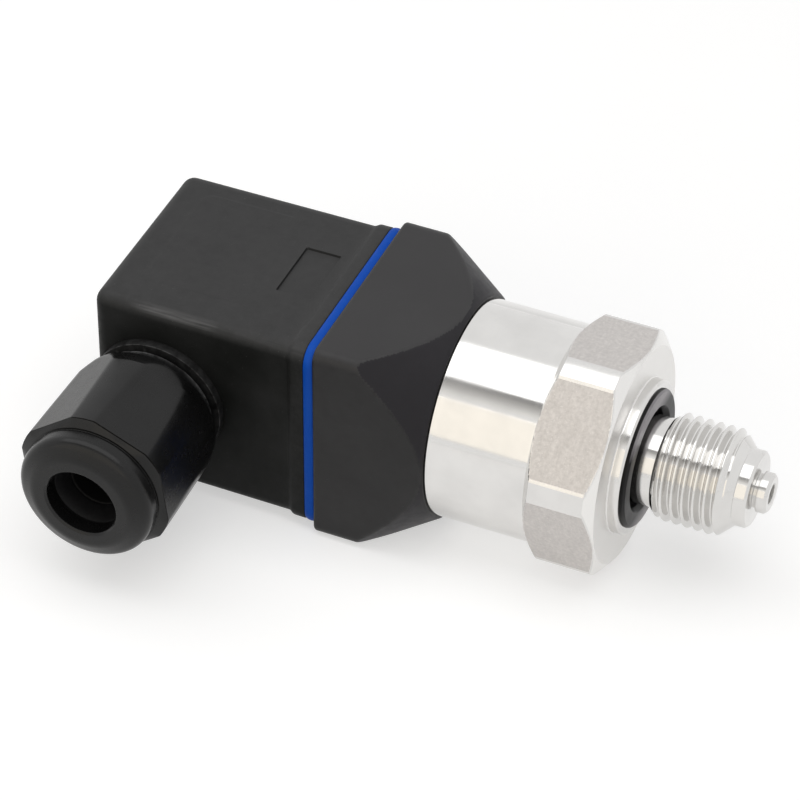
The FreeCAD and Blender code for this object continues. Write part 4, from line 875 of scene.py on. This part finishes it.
# Painted light: the housing's and the base's upward faces are painted lighter, standing in for the
# light from above
housing_black = moulded(
    "moulded_black_housing", (0.005, 0.0055, 0.005), (0.055, 0.055, 0.056), rough=0.5, gloss=0.1,
    painted_top_light=0.8, edge_wear_and_highlight=0.12, with_highlight_streak=True)
base_black = moulded(
    "moulded_black_base", (0.012, 0.0115, 0.012), (0.05, 0.049, 0.051), rough=0.46, gloss=0.27,
    specks=0.3, painted_top_light=0.45, edge_wear_and_highlight=0.15)
cone_black = moulded(
    "moulded_black_cut", (0.013, 0.0118, 0.0145), (0.026, 0.024, 0.029), rough=0.5, gloss=0.24,
    specks=0.2, edge_wear_and_highlight=0.1)
nut_black = moulded(
    "moulded_black_nut", (0.002, 0.002, 0.002), (0.03, 0.03, 0.031), rough=0.26, gloss=0.3,
    grain=0.003, scale=2.4, specks=0.15, edge_wear_and_highlight=0.1)
gasket_blue = moulded(
    "gasket_blue", (0.002, 0.064, 0.41), (0.008, 0.10, 0.5), rough=0.5, gloss=0.12,
    scale=3.0, specks=0.0, edge_wear_and_highlight=0.1)
seal_black = moulded(
    "seal_rubber_black", (0.006, 0.0055, 0.006), (0.05, 0.05, 0.052), rough=0.36, gloss=0.3,
    grain=0.004, scale=3.0, specks=0.15)
# Painted shade and highlight: a darker copy of the housing's black for the spigot's foot, which lies
# in shade, with pale rim edges set strongly enough to stand in for the rim's highlight
spigot_black_shaded = moulded(
    "moulded_black_spigot_shaded", (0.003, 0.003, 0.003), (0.07, 0.07, 0.071), rough=0.55, gloss=0.08,
    grain=0.005, scale=3.0, specks=0.2, edge_wear_and_highlight=0.9)
ring_black = moulded(
    "ring_plastic_black", (0.004, 0.004, 0.0045), (0.02, 0.02, 0.021), rough=0.45, gloss=0.15,
    grain=0.004, scale=3.0, specks=0.1, edge_wear_and_highlight=0.2)
gland_rubber = moulded(
    "gland_rubber_black", (0.003, 0.003, 0.003), (0.02, 0.02, 0.02), rough=0.6, gloss=0.1,
    grain=0.004, scale=3.0, specks=0.1, edge_wear_and_highlight=0.2)
block_black = moulded(
    "block_plastic_dark", (0.02, 0.02, 0.021), (0.07, 0.07, 0.07), rough=0.45, gloss=0.4,
    grain=0.008, scale=3.0, specks=0.2)

paint(make_process_connection(), turned, ground, plated("steel_drilled", (0.72, 0.71, 0.69), 0.62))
paint(make_process_seal(), seal_painted_sheen())
paint(make_case_tube(), steel_turned("steel_tube", 0.0004, 0.11, (0.72, 0.71, 0.695)))
paint(make_connector_base(), base_black, cone_black)
paint(make_plug_housing(), housing_black)
paint(make_gland_spigot(), spigot_black_shaded)
paint(make_gasket(), gasket_blue)
paint(make_gland_nut(), nut_black)
paint(make_thrust_ring(), ring_black)
paint(make_gland_seal(), gland_rubber)

# The nodes of the solid model that keep their own meshes
brass = plated("brass_drawn", (0.78, 0.57, 0.27), 0.28)
tinned = plated("contact_tinned", (0.72, 0.71, 0.68), 0.25)
zinc = plated("screw_zinc", (0.66, 0.67, 0.68), 0.3)
NODE_FINISH = {
    "threaded_insert": brass, "retaining_ring": brass,
    "contact_pin_1": tinned, "contact_pin_2": tinned, "contact_pin_3": tinned, "earth_pin": tinned,
    "contact_sleeve_1": tinned, "contact_sleeve_2": tinned, "contact_sleeve_3": tinned,
    "earth_sleeve": tinned, "cell_leads": tinned,
    "terminal_screws": zinc, "fixing_screw": zinc,
    "screw_washer": seal_black, "cell_o_ring": seal_black, "base_o_ring": seal_black,
    "terminal_block": block_black,
    "sensor_cell": glazed("cell_ceramic", (0.80, 0.78, 0.72), (0.88, 0.87, 0.83), 0.5, 3.0),
    "circuit_board": glazed("board_laminate", (0.01, 0.12, 0.04), (0.015, 0.16, 0.06), 0.35, 4.0),
    "signal_chip": glazed("chip_resin", (0.012, 0.012, 0.013), (0.02, 0.02, 0.021), 0.5, 6.0),
    "board_capacitors": glazed("capacitor_ceramic", (0.32, 0.22, 0.13), (0.4, 0.28, 0.17), 0.4, 6.0),
}
for node, material in NODE_FINISH.items():
    paint(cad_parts[node], material)


# Stage, lamps and camera
def sheet_of(name, corners, material, seen=True):
    """A four-cornered piece of the stage, which the camera sees or doesn't."""
    mesh = bpy.data.meshes.new(name)
    mesh.from_pydata(corners, [], [(0, 1, 2, 3)])
    mesh.materials.append(material)
    made = bpy.data.objects.new(name, mesh)
    bpy.context.scene.collection.objects.link(made)
    made.visible_camera = seen


def softbox(name, centre, across, up, width, height, radiance, colour):
    """A rectangular softbox with a black back. It shines along minus its own Z."""
    light = bpy.data.lights.new(name, "AREA")
    light.shape = "RECTANGLE"
    light.size = width
    light.size_y = height
    light.color = colour
    light.energy = radiance * math.pi * width * height
    made = bpy.data.objects.new(name, light)
    bpy.context.scene.collection.objects.link(made)
    x = Vector(across).normalized()
    y = Vector(up).normalized()
    z = x.cross(y)
    made.matrix_world = Matrix.Translation(centre) @ Matrix((x, y, z)).transposed().to_4x4()
    made.visible_camera = False
    middle = Vector(centre) + z * 0.01
    corners = [middle + x * width / 2 * sx + y * height / 2 * sy
               for sx, sy in ((-1, -1), (1, -1), (1, 1), (-1, 1))]
    sheet_of(name + "_back", corners, cloth_black, seen=False)


def background_rays(tree):
    """1 for rays that see the background: camera, glossy and transmission rays."""
    path = tree.nodes.new("ShaderNodeLightPath")
    share = path.outputs["Is Camera Ray"]
    for name in ("Is Glossy Ray", "Is Transmission Ray"):
        add = tree.nodes.new("ShaderNodeMath")
        add.operation = "MAXIMUM"
        tree.links.new(share, add.inputs[0])
        tree.links.new(path.outputs[name], add.inputs[1])
        share = add.outputs[0]
    return share


world = bpy.data.worlds.new("studio")
bpy.context.scene.world = world
world.use_nodes = True
tree = world.node_tree
ambient = tree.nodes["Background"]
white = tree.nodes.new("ShaderNodeBackground")
for background, strength in ((ambient, 0.35), (white, 1.0)):
    background.inputs["Color"].default_value = (1, 1, 1, 1)
    background.inputs["Strength"].default_value = strength
mix = tree.nodes.new("ShaderNodeMixShader")
tree.links.new(background_rays(tree), mix.inputs[0])
tree.links.new(ambient.outputs[0], mix.inputs[1])
tree.links.new(white.outputs[0], mix.inputs[2])
tree.links.new(mix.outputs[0], tree.nodes["World Output"].inputs["Surface"])

# The floor glows a little. Far away it is as bright as the white background, so that it shows no
# edge against it
FLOOR_LIFT, LIFT_START, LIFT_END, FLOOR_REACH = 0.50, 450.0, 1400.0, 3000.0
floor_shader = Shader("floor_pale")
floor_grain = floor_shader.noise(0.02, 2.0)
floor_distance = floor_shader.add("ShaderNodeVectorMath", {"operation": "LENGTH"},
                                  i0=floor_shader.place).outputs["Value"]
floor_lift = floor_shader.product(
    background_rays(floor_shader.tree),
    floor_shader.ramp(floor_distance, FLOOR_LIFT, 1.0, LIFT_START, LIFT_END))
floor_shader.finish(
    Base_Color=floor_shader.blend(floor_grain, (0.60, 0.60, 0.60), (0.62, 0.62, 0.62)),
    Roughness=0.9, Specular_IOR_Level=0.0, Emission_Color=(1, 1, 1), Emission_Strength=floor_lift)
# It touches the base's lower edge and the lowest land of the collar
edge_height, land_height = -BASE_HALF_HEIGHT, cad_low.z / MM
slope = (land_height - edge_height) / (LAND_PLACE - BASE_FACE)
sheet_of("floor", [
    (x * MM, y * MM, (edge_height + slope * (x - BASE_FACE) - 0.02) * MM)
    for x, y in ((-FLOOR_REACH, -FLOOR_REACH), (FLOOR_REACH, -FLOOR_REACH),
                 (FLOOR_REACH, FLOOR_REACH), (-FLOOR_REACH, FLOOR_REACH))], floor_shader.material)

cloth_shader = Shader("cloth_black")
cloth_grain = cloth_shader.noise(0.2, 2.0)
cloth_black = cloth_shader.finish(
    Base_Color=cloth_shader.blend(cloth_grain, (0.01, 0.01, 0.01), (0.02, 0.02, 0.02)),
    Roughness=0.9, Specular_IOR_Level=0.0)

# A graded card hangs between the softboxes: dark beside the upper one, pale beside the front one
CARD_HEIGHT = 0.50
CARD_LEFT, CARD_RIGHT = -0.75, 0.45
CARD_NEAR, CARD_FAR = -0.214, -0.43
card_shader = Shader("card_graded")
card_place = card_shader.split(card_shader.place)[1]
card_grain = card_shader.ramp(card_shader.noise(0.02, 2.0), 0.96, 1.04, 0.3, 0.7)
card_shade = card_shader.ramp(card_place, 0.2, 1.05, CARD_NEAR / MM, CARD_FAR / MM)
card_shader.finish(
    Base_Color=(0.0, 0.0, 0.0), Roughness=0.9, Specular_IOR_Level=0.0,
    Emission_Color=(1.0, 0.985, 0.96), Emission_Strength=card_shader.product(card_shade, card_grain))
sheet_of("card", [(CARD_LEFT, CARD_NEAR, CARD_HEIGHT), (CARD_RIGHT, CARD_NEAR, CARD_HEIGHT),
                  (CARD_RIGHT, CARD_FAR, CARD_HEIGHT), (CARD_LEFT, CARD_FAR, CARD_HEIGHT)],
         card_shader.material, seen=False)

softbox("overhead_softbox", centre=(-0.16, -0.034, 0.52), across=(1, 0, 0), up=(0, 1, 0),
        width=1.0, height=0.375, radiance=2.0, colour=(1.0, 1.0, 1.0))
softbox("front_softbox", centre=(-0.20, -0.62, 0.36), across=(1, 0, 0), up=(0, -0.12, 1),
        width=1.0, height=0.62, radiance=1.35, colour=(1.0, 0.95, 0.865))

# The camera that was fitted to the photo
CAMERA_PLACE = (0.11295, -0.33609, 0.31299)
RIGHT = Vector((0.9164479, 0.40010725, 0.00611833))
DOWN = Vector((0.26532809, -0.59614792, -0.75776557))
FORWARD = Vector((-0.29954007, 0.69607603, -0.6524982))
camera_data = bpy.data.cameras.new("camera")
camera_data.lens = 180
camera_data.sensor_width = 36
camera_data.clip_start = 0.01
camera_data.clip_end = 20
camera = bpy.data.objects.new("camera", camera_data)
bpy.context.scene.collection.objects.link(camera)
camera.matrix_world = (Matrix.Translation(CAMERA_PLACE)
                       @ Matrix((RIGHT, -DOWN, -FORWARD)).transposed().to_4x4())
bpy.context.scene.camera = camera
bpy.context.scene.view_settings.view_transform = "Standard"
